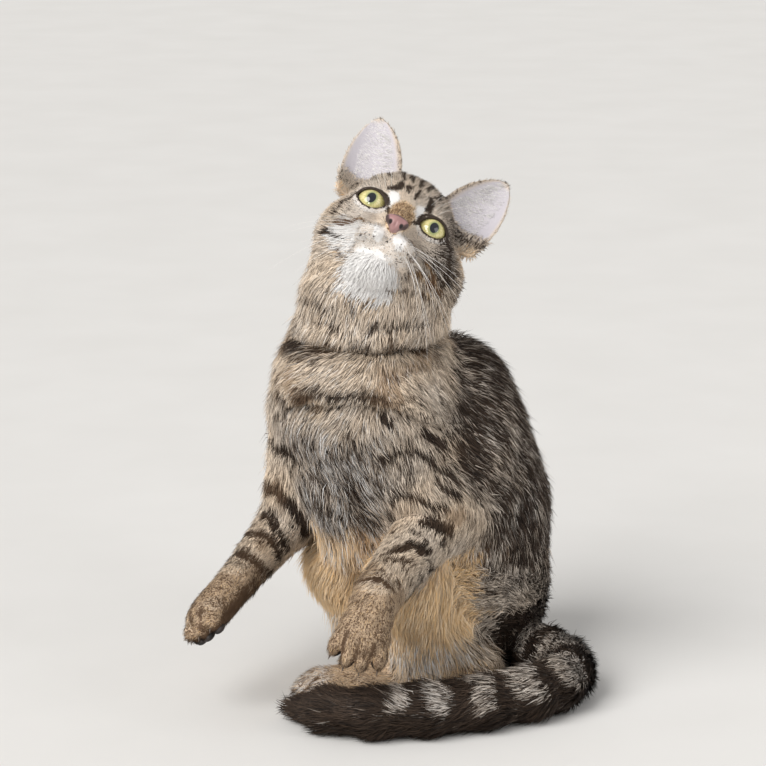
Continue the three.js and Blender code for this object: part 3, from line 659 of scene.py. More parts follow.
def head_marks(p, normals, q, m):
    """Dark, warm, pale and bare-skin masks on the head."""
    w = p + 0.9 * np.stack([cloud(p, 5, s) for s in (11, 12, 13)], 1)
    h, facing_out = in_head(w), normals @ HEAD.T
    hm = both_sides(h)
    mirrored = facing_out * np.column_stack((np.where(h[:, 0] < 0, -1, 1), np.ones((len(p), 2))))
    warm, pale = np.zeros(len(p)), np.zeros(len(p))
    dark = 0.16 + 0.16 * smooth_step(6, 20, h[:, 2]) + 0.32 * smooth_step(14, 34, h[:, 0])
    dark += 0.2 * smooth_step(0.2, -0.8, facing_out[:, 1])
    dark += 0.2 * smooth_step(20, 34, np.abs(h[:, 0])) * smooth_step(-30, -16, h[:, 2]) * (h[:, 1] > -12)
    by_ear = patch(hm, (43, -15, 2), (10, 12, 14), 0.6, 1.3)
    dark, warm = dark * (1 - 0.6 * by_ear), warm + 0.4 * by_ear
    for points, width in face_strokes:
        dark = over(dark, stroke(h, facing_out, points, width, 0.8))
    for points, width in cheek_strokes:
        line = stroke(h, facing_out, points, width * 1.2, 1.0)
        dark, warm = over(dark, line * 0.75), over(warm, line * 0.7)
    lens, x, y = off_opening(m)
    lens = np.maximum(lens, 0)
    facing = smooth_step(-4, 2, m[:, 1])
    liner = 0.8 + 1.0 * smooth_step(-3, 3, y) + 1.2 * smooth_step(0, -8, x) * smooth_step(-4, 2, y)
    rim = (1 - smooth_step(liner, liner + 0.5, lens)) * facing
    tear = stroke(hm, mirrored, ((11, 12.5, -3), (8.8, 18.5, -8.5), (8.4, 23, -12.5)), 3.6, 1.2) * 0.9
    ring = smooth_step(0.8, 1.6, lens) * (1 - smooth_step(2.6, 4.4, lens)) * facing
    below_eye = smooth_step(2, -2, y)
    pale = over(pale, ring * (0.1 + 0.45 * below_eye))
    for middle, radii, inner, outer, share in both_sides_white:
        pale = over(pale, patch(hm, middle, radii, inner, outer) * share)
    for middle, radii, inner, outer, share in white_patches:
        pale = over(pale, patch(h, middle, radii, inner, outer) * share)
    white = smooth_step(0.5, 0.9, pale)
    dark = np.where(dark < 0.6, dark * (1 - white), dark)
    bridge = stroke(h, facing_out, ((0, 16, -1), (0, 22, -7), (0, 28, -12)), 11.5, 3.0)
    warm = over(warm, bridge)
    pale = pale * (1 - 0.9 * bridge)
    dark = over(dark, bridge * 0.5)
    side_of_nose = stroke(hm, mirrored, ((7.2, 20, -8), (8.2, 25, -14.5)), 3.6, 1.2)
    dark, warm = over(dark, side_of_nose * 0.75), over(warm, side_of_nose * 0.5)
    rows = np.zeros(len(p))
    for row in range(4):
        for spot in range(5):
            ahead = 28.5 - 1.1 * spot - 0.2 * spot ** 2 - 0.5 * row
            centre = (8.5 + 2.5 * spot, ahead, -22.0 - 2.1 * row - 0.2 * spot)
            off = (m - centre) * (1, 0.35, 1)
            rows = over(rows, 1 - smooth_step(0.3, 0.8, np.linalg.norm(off, axis=1)))
    dark = over(dark, rows * 0.6)
    off_lips = off_mouth(m)
    lips = 1 - smooth_step(0.5, 1.05, off_lips)
    lips = np.maximum(lips, 1 - smooth_step(0.6, 1.1, off_line(m, philtrum)))
    lips *= smooth_step(5, 12, m[:, 1])
    freckles = smooth_step(0.1, 0.6, cloud(p, 1.5, 31)) * (1 - smooth_step(4, 8.5, off_lips))
    dark = over(dark, freckles * 0.2 * (q[:, 2] < -26))
    return dict(dark=np.maximum.reduce((dark, rim, tear, lips)), warm=warm,
                pale=pale * (1 - rim) * (1 - lips), rim=rim)


def ear_marks(q):
    """Bare pink skin in the cup of each ear, a dark rim, and how much each point lies on an ear."""
    bare, edge, on_ear = np.zeros(len(q)), np.zeros(len(q)), np.zeros(len(q))
    for corners in ears.values():
        across, t, ahead = ear_place(q, *corners)[:3]
        close = (np.abs(ahead) < 3.2) & (np.abs(across) < 1.2) & (t > -0.05) & (t < 1.08)
        on_ear = np.maximum(on_ear, close * smooth_step(0.0, 0.25, t))
        inward = across < 0
        rim = smooth_step(np.where(inward, 0.72, 0.86), 0.98, np.abs(across)) * close
        rim = np.maximum(rim, smooth_step(0.9, 0.99, t) * close)
        edge = np.maximum(edge, rim * np.where(inward, 1.0, 0.55))
        bare = np.maximum(bare, close * (ahead > 0.2) * smooth_step(0.02, 0.16, t) * (1 - rim))
    return bare, edge, on_ear


BAR_SPACING, CUFF_SPACING, NECK_SPACING = 13.0, 11.5, 15
TAIL_RINGS = (18, 50, 84, 118, 155, 187, 215, 241)  # how far each one is from the tail's root
TAIL_TIP = (246, 262)      # where the tail turns black all round


def markings(p, normals, weight):
    """The masks that colour the coat: near-black, orange-buff, white, brown over grey, and the
    bare skin of the ears."""
    x, y, z = p.T
    q = in_head(p)
    head = of_limb(weight, "head")
    neck = of_limb(weight, "neck")
    forelegs = of_limb(weight, "foreleg_left", "foreleg_right")
    front_paws = of_limb(weight, "forepaw_left", "forepaw_right")
    thighs = of_limb(weight, "hindleg_left", "hindleg_right")
    feet = of_limb(weight, "hind_foot_left", "hind_foot_right")
    tail = of_limb(weight, "tail")
    trunk = of_limb(weight, "trunk")
    w = p + 2.2 * np.stack([cloud(p, 14, s) for s in (21, 22, 23)], 1)
    w += 1.0 * np.stack([cloud(p, 5, s) for s in (24, 25, 26)], 1)
    over_fold = z - np.interp(x, *chest_fold)
    front = smooth_step(-0.1, -0.6, normals[:, 1])
    upper_chest = trunk * smooth_step(-4, 4, over_fold) * smooth_step(52, 20, x)
    brown = 0.6 * head + 0.9 * neck + 0.75 * forelegs + 1.2 * front_paws + 0.55 * thighs + 1.1 * feet
    brown += 0.5 * trunk + 0.4 * upper_chest
    brown += 0.12 * cloud(p, 20, 41)

    # How much of the hair is black all over: least on the throat and chest, most on the flank, where the
    # coat's own dark is deepened by painted shade.
    chest = trunk * front * smooth_step(30, 5, x) * (1 - upper_chest)
    dark = 0.12 * neck + 0.04 * forelegs + 0.45 * front_paws + 0.25 * thighs + 0.36 * feet
    dark += 0.73 * trunk
    brown -= 0.15 * chest
    brown += 0.35 * tail
    dark += 0.25 * neck * smooth_step(-60, -40, y) - 0.26 * upper_chest - 0.20 * chest
    # A darker patch on the left flank behind the foreleg: painted shade, with some of the coat's own
    # dark band in it.
    dark += 0.3 * trunk * patch(w, (47, -80, 165), (20, 26, 42), 0.5, 1.3)
    # A lighter band further back on the left flank: a painted highlight.
    dark -= 0.2 * trunk * patch(w, (78, -54, 160), (14, 26, 40), 0.4, 1.2)
    dark += 0.13 * cloud(p, 7, 51) * (trunk + thighs)

    # Bars down the flanks and haunches, broken into dashes, and the dark line of the back.
    high = w[:, 2] + 0.25 * w[:, 0]
    bars = smooth_step(0.1, 0.6, np.sin(high * TURN / BAR_SPACING + 0.9 * cloud(p, 26, 42)))
    dashes = smooth_step(-0.5, 0.3, cloud(p * (0.45, 0.45, 1), 9, 43))
    outward = smooth_step(-0.3, 0.3, normals[:, 0] * 0.8 + np.abs(normals[:, 1]) * 0.4 - 0.1)
    haunch = np.clip(thighs + trunk * smooth_step(105, 85, z), 0, 1)
    dark = over(dark, bars * dashes * outward * (0.5 * haunch + 0.4 * trunk * (1 - haunch)))
    away = unit(np.column_stack((x - 20, y + 10)))
    back = smooth_step(0.93, 0.99, away @ unit((0.95, 0.28))) * (trunk + 0.6 * thighs + neck)
    dark = over(dark, 0.6 * back * smooth_step(-0.9, 0.1, cloud(p, 9, 44)))
    dark = np.minimum(dark, 0.8)
    # Dark bands on the throat and chest, with painted shadow along the neck crease and under the chest
    # fold.
    for points, width in bands_and_fold_shadows:
        dark = over(dark, stroke(w, normals, points, width, 1.6) * 0.92)
    steady = p + 0.8 * np.stack([cloud(p, 5, s) for s in (27, 28, 29)], 1)
    for points, width in leg_bars:
        dark = over(dark, stroke(steady, normals, points, width, 1.0))
    # Painted shade low on the left haunch, by the floor.
    painted_rump_shade = patch(w, (82, -32, 28), (26, 26, 20), 0.7, 1.2)
    dark = over(dark, 0.85 * painted_rump_shade * (trunk + thighs))

    # Rings on the forelegs and on the neck, and lines between the toes.
    for at, side, r in ((left_limbs, "left", left_girths), (right_limbs, "right", right_girths)):
        down = on_foreleg(w, at)
        leg = of_limb(weight, f"foreleg_{side}") * smooth_step(-20, -4, down)
        rings = smooth_step(0.35, 0.8, np.sin(down * TURN / CUFF_SPACING + 1.3 * cloud(p, 16, 45)))
        broken = smooth_step(-0.2, 0.3, cloud(p, 7, 46))
        dark = over(dark, leg * rings * broken * 0.62)
        paw = of_limb(weight, f"forepaw_{side}")
        dark = over(dark, paw * smooth_step(0.2, 0.7, cloud(p, 5, 47)) * 0.25)
        sole = normals @ paws[f"forepaw_{side}"][3]
        dark = over(dark, paw * smooth_step(-0.05, -0.5, sole) * 0.95)
        for limb, girth in ((f"forepaw_{side}", r["forepaw"]), (f"hind_foot_{side}", HINDPAW_GIRTH)):
            palm, ahead, across, back = paws[limb]
            # Dark lines down the gaps between the toes: painted shade in the creases.
            for gap in (-1, 0, 1):
                start = palm + across * gap * girth * 0.52 + back * girth * 0.55
                line = (start + ahead * girth * 0.35, start + ahead * girth * 1.15 - back * girth * 0.7)
                dark = over(dark, stroke(p, normals, line, 1.9, 0.7) * 0.95 * of_limb(weight, limb))
    necklace = smooth_step(0.3, 0.9, np.sin((w[:, 2] - 0.12 * w[:, 0]) * TURN / NECK_SPACING + 0.6))
    dark = over(dark, neck * necklace * 0.6 * smooth_step(-0.4, 0.4, cloud(p, 13, 48)))

    # The tail: rings, then all black, and dark beneath, partly its own dark underside and partly painted
    # shade.
    place = on_tail(w)
    rings = np.maximum.reduce([
        1 - smooth_step(5.0, 8.5, np.abs(place - ring)) for ring in TAIL_RINGS])
    # Hair that faces down is darker: the tail's own dark underside, with painted shade.
    under = smooth_step(0.30, -0.1, normals[:, 2]) * smooth_step(60, 110, place)
    under = np.maximum(under, smooth_step(0.1, -0.4, normals[:, 2]))
    tail_dark = np.maximum.reduce((
        0.44 + 0 * place, rings, under, smooth_step(*TAIL_TIP, place)))
    dark = dark * (1 - tail) + tail * tail_dark

    # Orange-buff belly and the insides of the thighs, paler towards the hocks.
    ragged = w + 6 * cloud(p, 12, 52)[:, None]
    inner = smooth_step(68, 42, ragged[:, 0]) * smooth_step(110, 90, ragged[:, 2])
    inner *= np.clip(thighs + trunk, 0, 1) * smooth_step(0.6, 0.0, normals[:, 1])
    warm = inner * 0.95
    dark = dark * (1 - inner)
    pale = 0.45 * inner * smooth_step(52, 22, w[:, 2])
    warm = warm * (1 - 0.35 * smooth_step(48, 20, w[:, 2]))
    pale = over(pale, 0.3 * chest + 0.15 * neck)
    for points, width in pale_strokes:
        line = stroke(w, normals, points, width, 2.2) * (trunk + forelegs)
        pale, dark = over(pale, line * 0.6), dark * (1 - 0.7 * line)
    warm = over(warm, 0.35 * feet + 0.35 * front_paws)
    # Darker patches at the top of the orange-buff, under the chest: painted shade.
    dark = over(dark, inner * smooth_step(-0.1, 0.8, cloud(p, 9, 53)) * smooth_step(45, 65, z) * 0.3)
    pale = over(pale, feet * smooth_step(-24, -40, x) * 0.45)

    face = head_marks(p, normals, q, both_sides(q))
    bare, edge, on_ear = ear_marks(q)
    white = patch(w, (-12, -102, 267), (19, 22, 12), 0.6, 1.3) * (neck + head)
    dark = dark * (1 - white) * (1 - head) + head * face["dark"] * (1 - on_ear)
    dark = np.maximum(dark, face["rim"])
    warm = warm * (1 - head) + head * face["warm"]
    pale = over(pale * (1 - head) + head * face["pale"], white * 0.9)
    dark = over(dark, edge * 0.4)
    warm = over(warm * (1 - on_ear), 0.2 * on_ear * (1 - bare))
    pale = pale * (1 - on_ear) + on_ear * 0.25 * (1 - edge)
    dark = np.clip(dark * (1 + 0.12 * cloud(p, 3, 50)), 0, 1)
    return dict(dark=dark, warm=np.clip(warm, 0, 1), pale=np.clip(pale, 0, 1),
                brown=np.clip(brown, 0, 1), bare=bare)


# One group colours skin and hair from those masks. A hair is grey at its root, buff or silver
# further up and black at its tip; chance tells one tuft from the next.

ROOT_GREY, SILVER, BUFF = (0.14, 0.11, 0.085), (0.97, 0.94, 0.90), (1.0, 0.81, 0.61)
TICK_BLACK, BAR_BLACK = (0.055, 0.037, 0.026), (0.012, 0.009, 0.008)
ORANGE, WHITE, PINK = (1.0, 0.65, 0.31), (0.97, 0.96, 0.95), (0.56, 0.53, 0.565)


def wiring(nodes, links):
    """Ways to add a mix of two colours, a smooth ramp or a sum to a tree of nodes."""
    def feed(socket, value):
        if hasattr(value, "is_output"):
            links.new(value, socket)
        elif socket.type == "RGBA":
            socket.default_value = (*value, 1)
        else:
            socket.default_value = value

    def mixed(factor, a, b):
        node = nodes.new("ShaderNodeMix")
        node.data_type = "RGBA"
        for number, value in ((0, factor), (6, a), (7, b)):
            feed(node.inputs[number], value)
        return node.outputs[2]

    def ramped(value, ends):
        node = nodes.new("ShaderNodeMapRange")
        node.interpolation_type = "SMOOTHSTEP"
        links.new(value, node.inputs["Value"])
        node.inputs["From Min"].default_value, node.inputs["From Max"].default_value = ends
        return node.outputs["Result"]

    def maths(kind, *values):
        node = nodes.new("ShaderNodeMath")
        node.operation = kind
        for socket, value in zip(node.inputs, values):
            feed(socket, value)
        return node.outputs[0]

    return mixed, ramped, maths


def coat_colour_group():
    group = bpy.data.node_groups.new("ticked coat", "ShaderNodeTree")
    face = group.interface
    for name, kind in (
        ("Masks", "NodeSocketColor"), ("Brown", "NodeSocketFloat"), ("Along", "NodeSocketFloat"),
        ("Chance", "NodeSocketFloat"), ("Ticking", "NodeSocketFloat"),
    ):
        face.new_socket(name=name, in_out="INPUT", socket_type=kind)
    face.new_socket(name="Color", in_out="OUTPUT", socket_type="NodeSocketColor")
    nodes, links = group.nodes, group.links
    given, result = nodes.new("NodeGroupInput"), nodes.new("NodeGroupOutput")

    mixed, ramped, maths = wiring(nodes, links)
    parts = nodes.new("ShaderNodeSeparateColor")
    links.new(given.outputs["Masks"], parts.inputs[0])
    dark, warm, pale = parts.outputs[0], parts.outputs[1], parts.outputs[2]
    along, chance = given.outputs["Along"], given.outputs["Chance"]
    second = maths("FRACT", maths("MULTIPLY", chance, 7.31))
    third = maths("FRACT", maths("MULTIPLY", chance, 53.7))

    def picked(share, number):
        """1 for as many tufts as the share tells, by a random number."""
        return ramped(maths("SUBTRACT", maths("MULTIPLY", share, 1.35), number), (0.0, 0.35))

    band = mixed(given.outputs["Brown"], SILVER, BUFF)
    band = mixed(maths("MULTIPLY", second, 0.55), band, (0.28, 0.19, 0.125))
    brownest = maths("MULTIPLY", ramped(given.outputs["Brown"], (0.96, 1.0)), 0.65)
    band = mixed(brownest, band, (0.44, 0.30, 0.19))
    hair = mixed(ramped(along, (0.0, 0.4)), ROOT_GREY, band)
    ticked = maths("MULTIPLY", ramped(along, (0.6, 0.95)), picked(given.outputs["Ticking"], third))
    hair = mixed(ticked, hair, TICK_BLACK)
    orange = mixed(ramped(along, (0.0, 0.5)), (0.85, 0.50, 0.24), ORANGE)
    orange = mixed(maths("MULTIPLY", second, 0.6), orange, (1.0, 0.88, 0.72))
    hair = mixed(picked(warm, third), hair, orange)
    white = mixed(ramped(along, (0.0, 0.4)), (0.60, 0.57, 0.55), WHITE)
    white = mixed(maths("MULTIPLY", third, 0.5), white, (0.80, 0.76, 0.72))
    hair = mixed(picked(pale, second), hair, white)
    hair = mixed(maths("MULTIPLY", dark, 0.5), hair, TICK_BLACK)
    black = mixed(maths("MULTIPLY", second, 0.6), BAR_BLACK, (0.12, 0.080, 0.055))
    black = mixed(warm, black, (0.19, 0.105, 0.055))
    browned = maths("MULTIPLY", ramped(given.outputs["Brown"], (0.75, 1.0)), 0.5)
    black = mixed(browned, black, (0.17, 0.105, 0.062))
    hair = mixed(picked(dark, chance), hair, black)
    links.new(hair, result.inputs["Color"])
    return group


coat_colour = coat_colour_group()


def attribute(nodes, name):
    node = nodes.new("ShaderNodeAttribute")
    node.attribute_name = name
    return node


def blank_material(name, roughness):
    material = bpy.data.materials.new(name)
    material.use_nodes = True
    shader = material.node_tree.nodes["Principled BSDF"]
    shader.inputs["Roughness"].default_value = roughness
    return material, material.node_tree.nodes, material.node_tree.links, shader


def coat_material(name, roughness, ticking):
    """Hair, coloured along each tuft."""
    material, nodes, links, shader = blank_material(name, roughness)
    shader.inputs["Specular IOR Level"].default_value = 0.14
    group = nodes.new("ShaderNodeGroup")
    group.node_tree = coat_colour
    strand = nodes.new("ShaderNodeSeparateColor")
    links.new(attribute(nodes, "strand").outputs["Color"], strand.inputs[0])
    links.new(attribute(nodes, "masks").outputs["Color"], group.inputs["Masks"])
    links.new(strand.outputs[0], group.inputs["Along"])
    links.new(strand.outputs[1], group.inputs["Chance"])
    links.new(strand.outputs[2], group.inputs["Brown"])
    group.inputs["Ticking"].default_value = ticking
    links.new(group.outputs["Color"], shader.inputs["Base Color"])
    return material


def skin_material():
    """Short underfur in the coat's own colours, and bare pink skin in the ears."""
    material, nodes, links, shader = blank_material("underfur", 0.7)
    shader.inputs["Specular IOR Level"].default_value = 0.25
    group = nodes.new("ShaderNodeGroup")
    group.node_tree = coat_colour
    group.inputs["Ticking"].default_value = 0.0
    group.inputs["Along"].default_value = 0.32
    strand = nodes.new("ShaderNodeSeparateColor")
    links.new(attribute(nodes, "strand").outputs["Color"], strand.inputs[0])
    links.new(attribute(nodes, "masks").outputs["Color"], group.inputs["Masks"])
    links.new(strand.outputs[2], group.inputs["Brown"])
    place = nodes.new("ShaderNodeTexCoord")
    fine = nodes.new("ShaderNodeTexNoise")
    fine.inputs["Scale"].default_value = 900
    fine.inputs["Detail"].default_value = 3
    links.new(place.outputs["Object"], fine.inputs["Vector"])
    spread = nodes.new("ShaderNodeMapRange")
    spread.inputs["From Min"].default_value, spread.inputs["From Max"].default_value = 0.34, 0.66
    links.new(fine.outputs["Fac"], spread.inputs["Value"])
    links.new(spread.outputs["Result"], group.inputs["Chance"])
    mixed = wiring(nodes, links)[0]
    coloured = mixed(strand.outputs[0], group.outputs["Color"], PINK)
    links.new(coloured, shader.inputs["Base Color"])
    bump = nodes.new("ShaderNodeBump")
    bump.inputs["Strength"].default_value = 0.5
    bump.inputs["Distance"].default_value = 0.0006
    links.new(fine.outputs["Fac"], bump.inputs["Height"])
    links.new(bump.outputs["Normal"], shader.inputs["Normal"])
    return material


# The body's own place in the frame: millimetres here, metres there, with the CAD's origin.
eye_box = np.array(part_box("eye_left")).mean(axis=0)
SHIFT = eye_box - on_head(EYE_SPREAD, 0, 0) * 0.001


def to_frame(p):
    return (np.asarray(p) * 0.001 + SHIFT).astype(np.float32)


def new_piece(name, points, faces, material, slot, smooth=True):
    """A mesh of equal-sided faces that rides on the body."""
    mesh = bpy.data.meshes.new(name)
    faces = np.asarray(faces, np.int32)
    sides = faces.shape[1]
    mesh.vertices.add(len(points))
    mesh.vertices.foreach_set("co", to_frame(points).ravel())
    mesh.loops.add(faces.size)
    mesh.loops.foreach_set("vertex_index", faces.ravel())
    mesh.polygons.add(len(faces))
    mesh.polygons.foreach_set("loop_start", np.arange(0, faces.size, sides, dtype=np.int32))
    mesh.polygons.foreach_set("use_smooth", np.full(len(faces), smooth))
    mesh.update(calc_edges=True)
    mesh.materials.append(material)
    piece = bpy.data.objects.new(name, mesh)
    bpy.context.scene.collection.objects.link(piece)
    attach(piece, "root")
    return piece


def paint(piece, name, values):
    """One colour-like triple of numbers at each corner point of a mesh."""
    layer = piece.data.attributes.new(name, "FLOAT_COLOR", "POINT")
    filled = np.ones((len(values), 4), np.float32)
    filled[:, :3] = values
    layer.data.foreach_set("color", filled.ravel())


# The skin laid out flat: each limb is seen along its six square directions, and those views
# are packed in rows on one sheet.

limb_names = sorted({shape["limb"] for shape in flesh})


def limb_of(weight):
    return np.argmax(np.stack([of_limb(weight, name) for name in limb_names], 1), axis=1)


def flat_places(p, normals, limb):
    """Where each point lies on the sheet, from 0 to 1."""
    axis = np.argmax(np.abs(normals), axis=1)
    sign = normals[np.arange(len(p)), axis] > 0
    view = limb * 6 + axis * 2 + sign
    flat = np.stack([p[np.arange(len(p)), (axis + 1) % 3], p[np.arange(len(p)), (axis + 2) % 3]], 1)
    views = np.unique(view)
    low = {v: flat[view == v].min(axis=0) for v in views}
    size = {v: np.ptp(flat[view == v], axis=0) + 1 for v in views}
    order = sorted(views, key=lambda v: -size[v][1])

    def packed(scale, gap=0.008):
        spots, x, y, row = {}, gap, gap, 0.0
        for v in order:
            wide, tall = size[v] * scale
            if x + wide > 1 - gap:
                x, y, row = gap, y + row + gap, 0.0
            spots[v] = (x, y)
            x, row = x + wide + gap, max(row, tall)
        return spots, y + row + gap

    scale = 0.02
    while packed(scale)[1] > 1 or max(size[v][0] for v in views) * scale > 0.98:
        scale *= 0.98
    spots = packed(scale)[0]
    corner = np.array([spots.get(v, (0, 0)) for v in range(views.max() + 1)])
    least = np.array([low.get(v, (0, 0)) for v in range(views.max() + 1)])
    return corner[view] + (flat - least[view]) * scale


skin_shares = shares(skin_points)
skin_marks = markings(skin_points, skin_normals, skin_shares)
skin = new_piece("skin", skin_points, skin_faces, skin_material(), "coat_grey")
paint(skin, "masks", np.stack([skin_marks[k] for k in ("dark", "warm", "pale")], 1))
paint(skin, "strand", np.stack([skin_marks["bare"], skin_marks["bare"], skin_marks["brown"]], 1))


def lay_flat(piece, places):
    """Gives a mesh the map that its finish is kept on, one place to each corner of its faces."""
    layer = piece.data.uv_layers.new(name="OFBake")
    layer.uv.foreach_set("vector", np.ascontiguousarray(places, np.float32).ravel())


face_middles = skin_points[skin_faces].mean(axis=1)
across_faces = face_areas(skin_points, skin_faces)
face_limbs = limb_of(skin_shares[skin_faces].mean(axis=1))
corners = skin_faces.ravel()
lay_flat(skin, flat_places(
    skin_points[corners], np.repeat(unit(across_faces), 4, axis=0), np.repeat(face_limbs, 4)))
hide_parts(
    "head", "neck", "chest", "hips", "ear_left", "ear_right", "foreleg_left", "foreleg_right",
    "forepaw_left", "forepaw_right", "hindleg_left", "hindleg_right", "hind_foot_left",
    "hind_foot_right", "tail_1", "tail_2", "tail_3",
)

# ---------------------------------------------------------------------------------------------
# The coat. Every tuft is a thin closed lock of hair that leans along the body and laps over the
# next: bent and pointed at both ends on the body, straight and very short on the face, ears and
# paws.

SINK = 0.5                 # how far a tuft's root is set into the skin
SHOWN_AT = 0.7             # the part of a tuft that isn't under the next, from its root
BEND_AT = 0.42             # the part of its length at which a bent tuft is widest and bends
BENT_MOST, STRAIGHT_MOST = 32000, 48000
PATCH = 0.003              # a tuft's width on the flat map
bent_faces = np.array(((0, 2, 1), (0, 3, 2), (0, 1, 3), (1, 2, 4), (2, 3, 4), (3, 1, 4)))
straight_faces = np.array(((0, 1, 3), (1, 2, 3), (2, 0, 3), (0, 2, 1)))
LENGTHS, WIDTHS, LIFTS = (0.72, 1.22), (0.7, 1.3), (0.55, 1.3)  # least and most, as parts of the mean
STRAYS, CURLS = 0.03, 0.16  # how many stand out further, and how far tufts bend aside
SHADED = 0.6               # how round a tuft looks
dice = np.random.default_rng(20)


def growth(p):
    """How long the hair may grow at each point: none on the nose, lips and lids, and shorter by the
    roots of the ears.
    """
    grown = np.ones(len(p))
    q = in_head(p)
    m = both_sides(q)
    head = p[:, 2] > 235
    lens = off_opening(m)[0]
    near_eye = np.linalg.norm(m - EYE_MIDDLE, axis=1) < 17
    grown *= np.where(head & near_eye, smooth_step(0.9, 4.5, lens), 1)
    pad = np.linalg.norm((q - (0, 31.5, -18)) / (7.0, 6, 5.4), axis=1)
    grown *= np.where(head, smooth_step(0.95, 1.6, pad), 1)
    off_lips = off_mouth(m)
    over_lips = m[:, 2] > np.interp(m[:, 0], *np.array(mouth_line)[:, (0, 2)].T)
    bare_lip = np.where(over_lips, 2.0, 1.2)
    grown *= np.where(head, smooth_step(bare_lip, bare_lip + 2.5, off_lips), 1)
    grown *= np.where(head, smooth_step(0.9, 2.4, off_line(m, philtrum)), 1)
    for inner, outer, _ in ears.values():
        by_ear = off_line(q, (inner, np.add(inner, outer) / 2 - (0, 8, 0), outer))
        grown *= 0.35 + 0.65 * smooth_step(6, 18, by_ear)
    socket = head & (np.linalg.norm(m - EYE_MIDDLE, axis=1) < EYE_RADIUS + 0.6)
    return grown * ~socket


def hair_of(weight):
    """Depth, length and width of the coat at each point."""
    kinds = np.array([coats[shape["coat"]] for shape in flesh])
    return (weight @ kinds).T


def spread_roots(chosen, density):
    """Roots spread evenly over the chosen faces of the skin, with the skin's normal there."""
    tri = np.concatenate((skin_faces[chosen][:, (0, 1, 2)], skin_faces[chosen][:, (0, 2, 3)]))
    tri = tri[np.lexsort(np.round(skin_points[tri].mean(axis=1) / 6).T)]
    a, b, c = skin_points[tri].transpose(1, 0, 2)
    area = np.linalg.norm(np.cross(b - a, c - a), axis=1) / 2
    total = np.cumsum(area)
    count = int(total[-1] * density)
    spots = (np.arange(count) + dice.uniform(0, 1, count)) / count * total[-1]
    pick = np.minimum(np.searchsorted(total, spots), len(tri) - 1)
    u, v = dice.uniform(0, 1, (2, count))
    flip = u + v > 1
    u, v = np.where(flip, 1 - u, u), np.where(flip, 1 - v, v)
    share = np.stack((1 - u - v, u, v), 1)[:, :, None]
    root = (skin_points[tri[pick]] * share).sum(axis=1)
    return root, unit((skin_normals[tri[pick]] * share).sum(axis=1))


def column(values):
    return np.asarray(values)[:, None]


def spikes(root, normal, way, length, width, lift, curl, bent):
    """Corners of every tuft, how far along its hair each one is, and the way it shades."""
    side = np.cross(normal, way)
    steep = column(lift * (1.5 if bent else 1.0))
    first = way * np.cos(steep) + normal * np.sin(steep)
    ridge = normal * np.cos(steep) - way * np.sin(steep)
    foot = root - normal * SINK
    half, tall = column(width) / 2, column(width) * 0.45
    if bent:
        middle = root + first * column(length) * BEND_AT
        shallow = column(lift * 0.55)
        second = unit(way * np.cos(shallow) + normal * np.sin(shallow) + side * column(curl))
        tip = middle + second * column(length) * (1 - BEND_AT)
        points = [foot, middle - side * half, middle + side * half, middle + ridge * tall, tip]
        along, tilts = [0, BEND_AT, BEND_AT, BEND_AT + 0.04, 1.0], [ridge, -side, side, ridge, ridge]
    else:
        tip = root + (first + side * column(curl) * 0.5) * column(length)
        points = [foot - side * half, foot + side * half, foot + ridge * tall, tip]
        along, tilts = [0, 0, 0.06, 1.0], [-side, side, ridge, ridge]
    shading = unit(np.stack([normal + SHADED * tilt for tilt in tilts], 1))
    return np.stack(points, 1), np.array(along), shading


def clumped(p):
    """A random number from 0 to 1 for each tuft, much the same for those that cling together."""
    mixed = 0.35 * cloud(p, 1.5, 61) + 0.9 * dice.normal(0, 1, len(p))
    return 1 / (1 + np.exp(-1.75 * mixed))


def tuft_pieces(
    name, slot, roots, normals, length, width, lift, bent, material, way=None, tint=None,
):
    """Makes coat pieces, each small enough on its own, from tufts at the given roots."""
    weight = shares(roots)
    way = lie_of_hair(roots, normals, weight) if way is None else way
    shown = roots + way * (length * SHOWN_AT)[:, None]
    marks = markings(shown, normals, shares(shown))
    if tint:
        marks.update({k: np.full(len(roots), v) for k, v in tint.items()})
    limb = limb_of(weight)
    count = len(roots)
    length = length * dice.uniform(*LENGTHS, count)
    width = width * dice.uniform(*WIDTHS, count)
    lift = lift * dice.uniform(*LIFTS, count) * (1 + 0.3 * np.clip(cloud(roots, 4, 62), -1, 1))
    stray = dice.uniform(0, 1, count) < STRAYS
    lift = np.where(stray, lift * 1.9, lift)
    curl = dice.normal(0, CURLS, count)
    chance = clumped(roots)
    parts = int(np.ceil(count / (BENT_MOST if bent else STRAIGHT_MOST)))
    shape = bent_faces if bent else straight_faces
    for part in range(parts):
        pick = np.arange(part, count, parts)
        points, along, shading = spikes(
            *(each[pick] for each in (roots, normals, way, length, width, lift, curl)), bent)
        sides = len(along)
        points = points.reshape(-1, 3)
        points[:, 2] = np.maximum(points[:, 2], 0.35 + 0.25 * np.tile(along, len(pick)))
        faces = (shape[None] + np.arange(len(pick))[:, None, None] * sides).reshape(-1, 3)
        label = f"{name}_{part + 1}" if parts > 1 else name
        piece = new_piece(label, points, faces, material, slot)
        if not tint:
            piece.data.normals_split_custom_set_from_vertices(shading.reshape(-1, 3))
        masks = np.stack([marks[k][pick] for k in ("dark", "warm", "pale")], 1)
        paint(piece, "masks", np.repeat(masks, sides, axis=0))
        strand = np.stack((
            np.tile(along, len(pick)), np.repeat(chance[pick], sides),
            np.repeat(marks["brown"][pick], sides),
        ), 1)
        paint(piece, "strand", strand)
        places = flat_places(roots[pick], normals[pick], limb[pick])
        aside = (0, -0.5, 0.5, 0, 0) if bent else (-0.5, 0.5, 0, 0)
        spot = np.stack((np.array(aside), along - 0.5), 1)
        corner = places[:, None] + spot * PATCH
        lay_flat(piece, corner.reshape(-1, 2)[faces.ravel()])


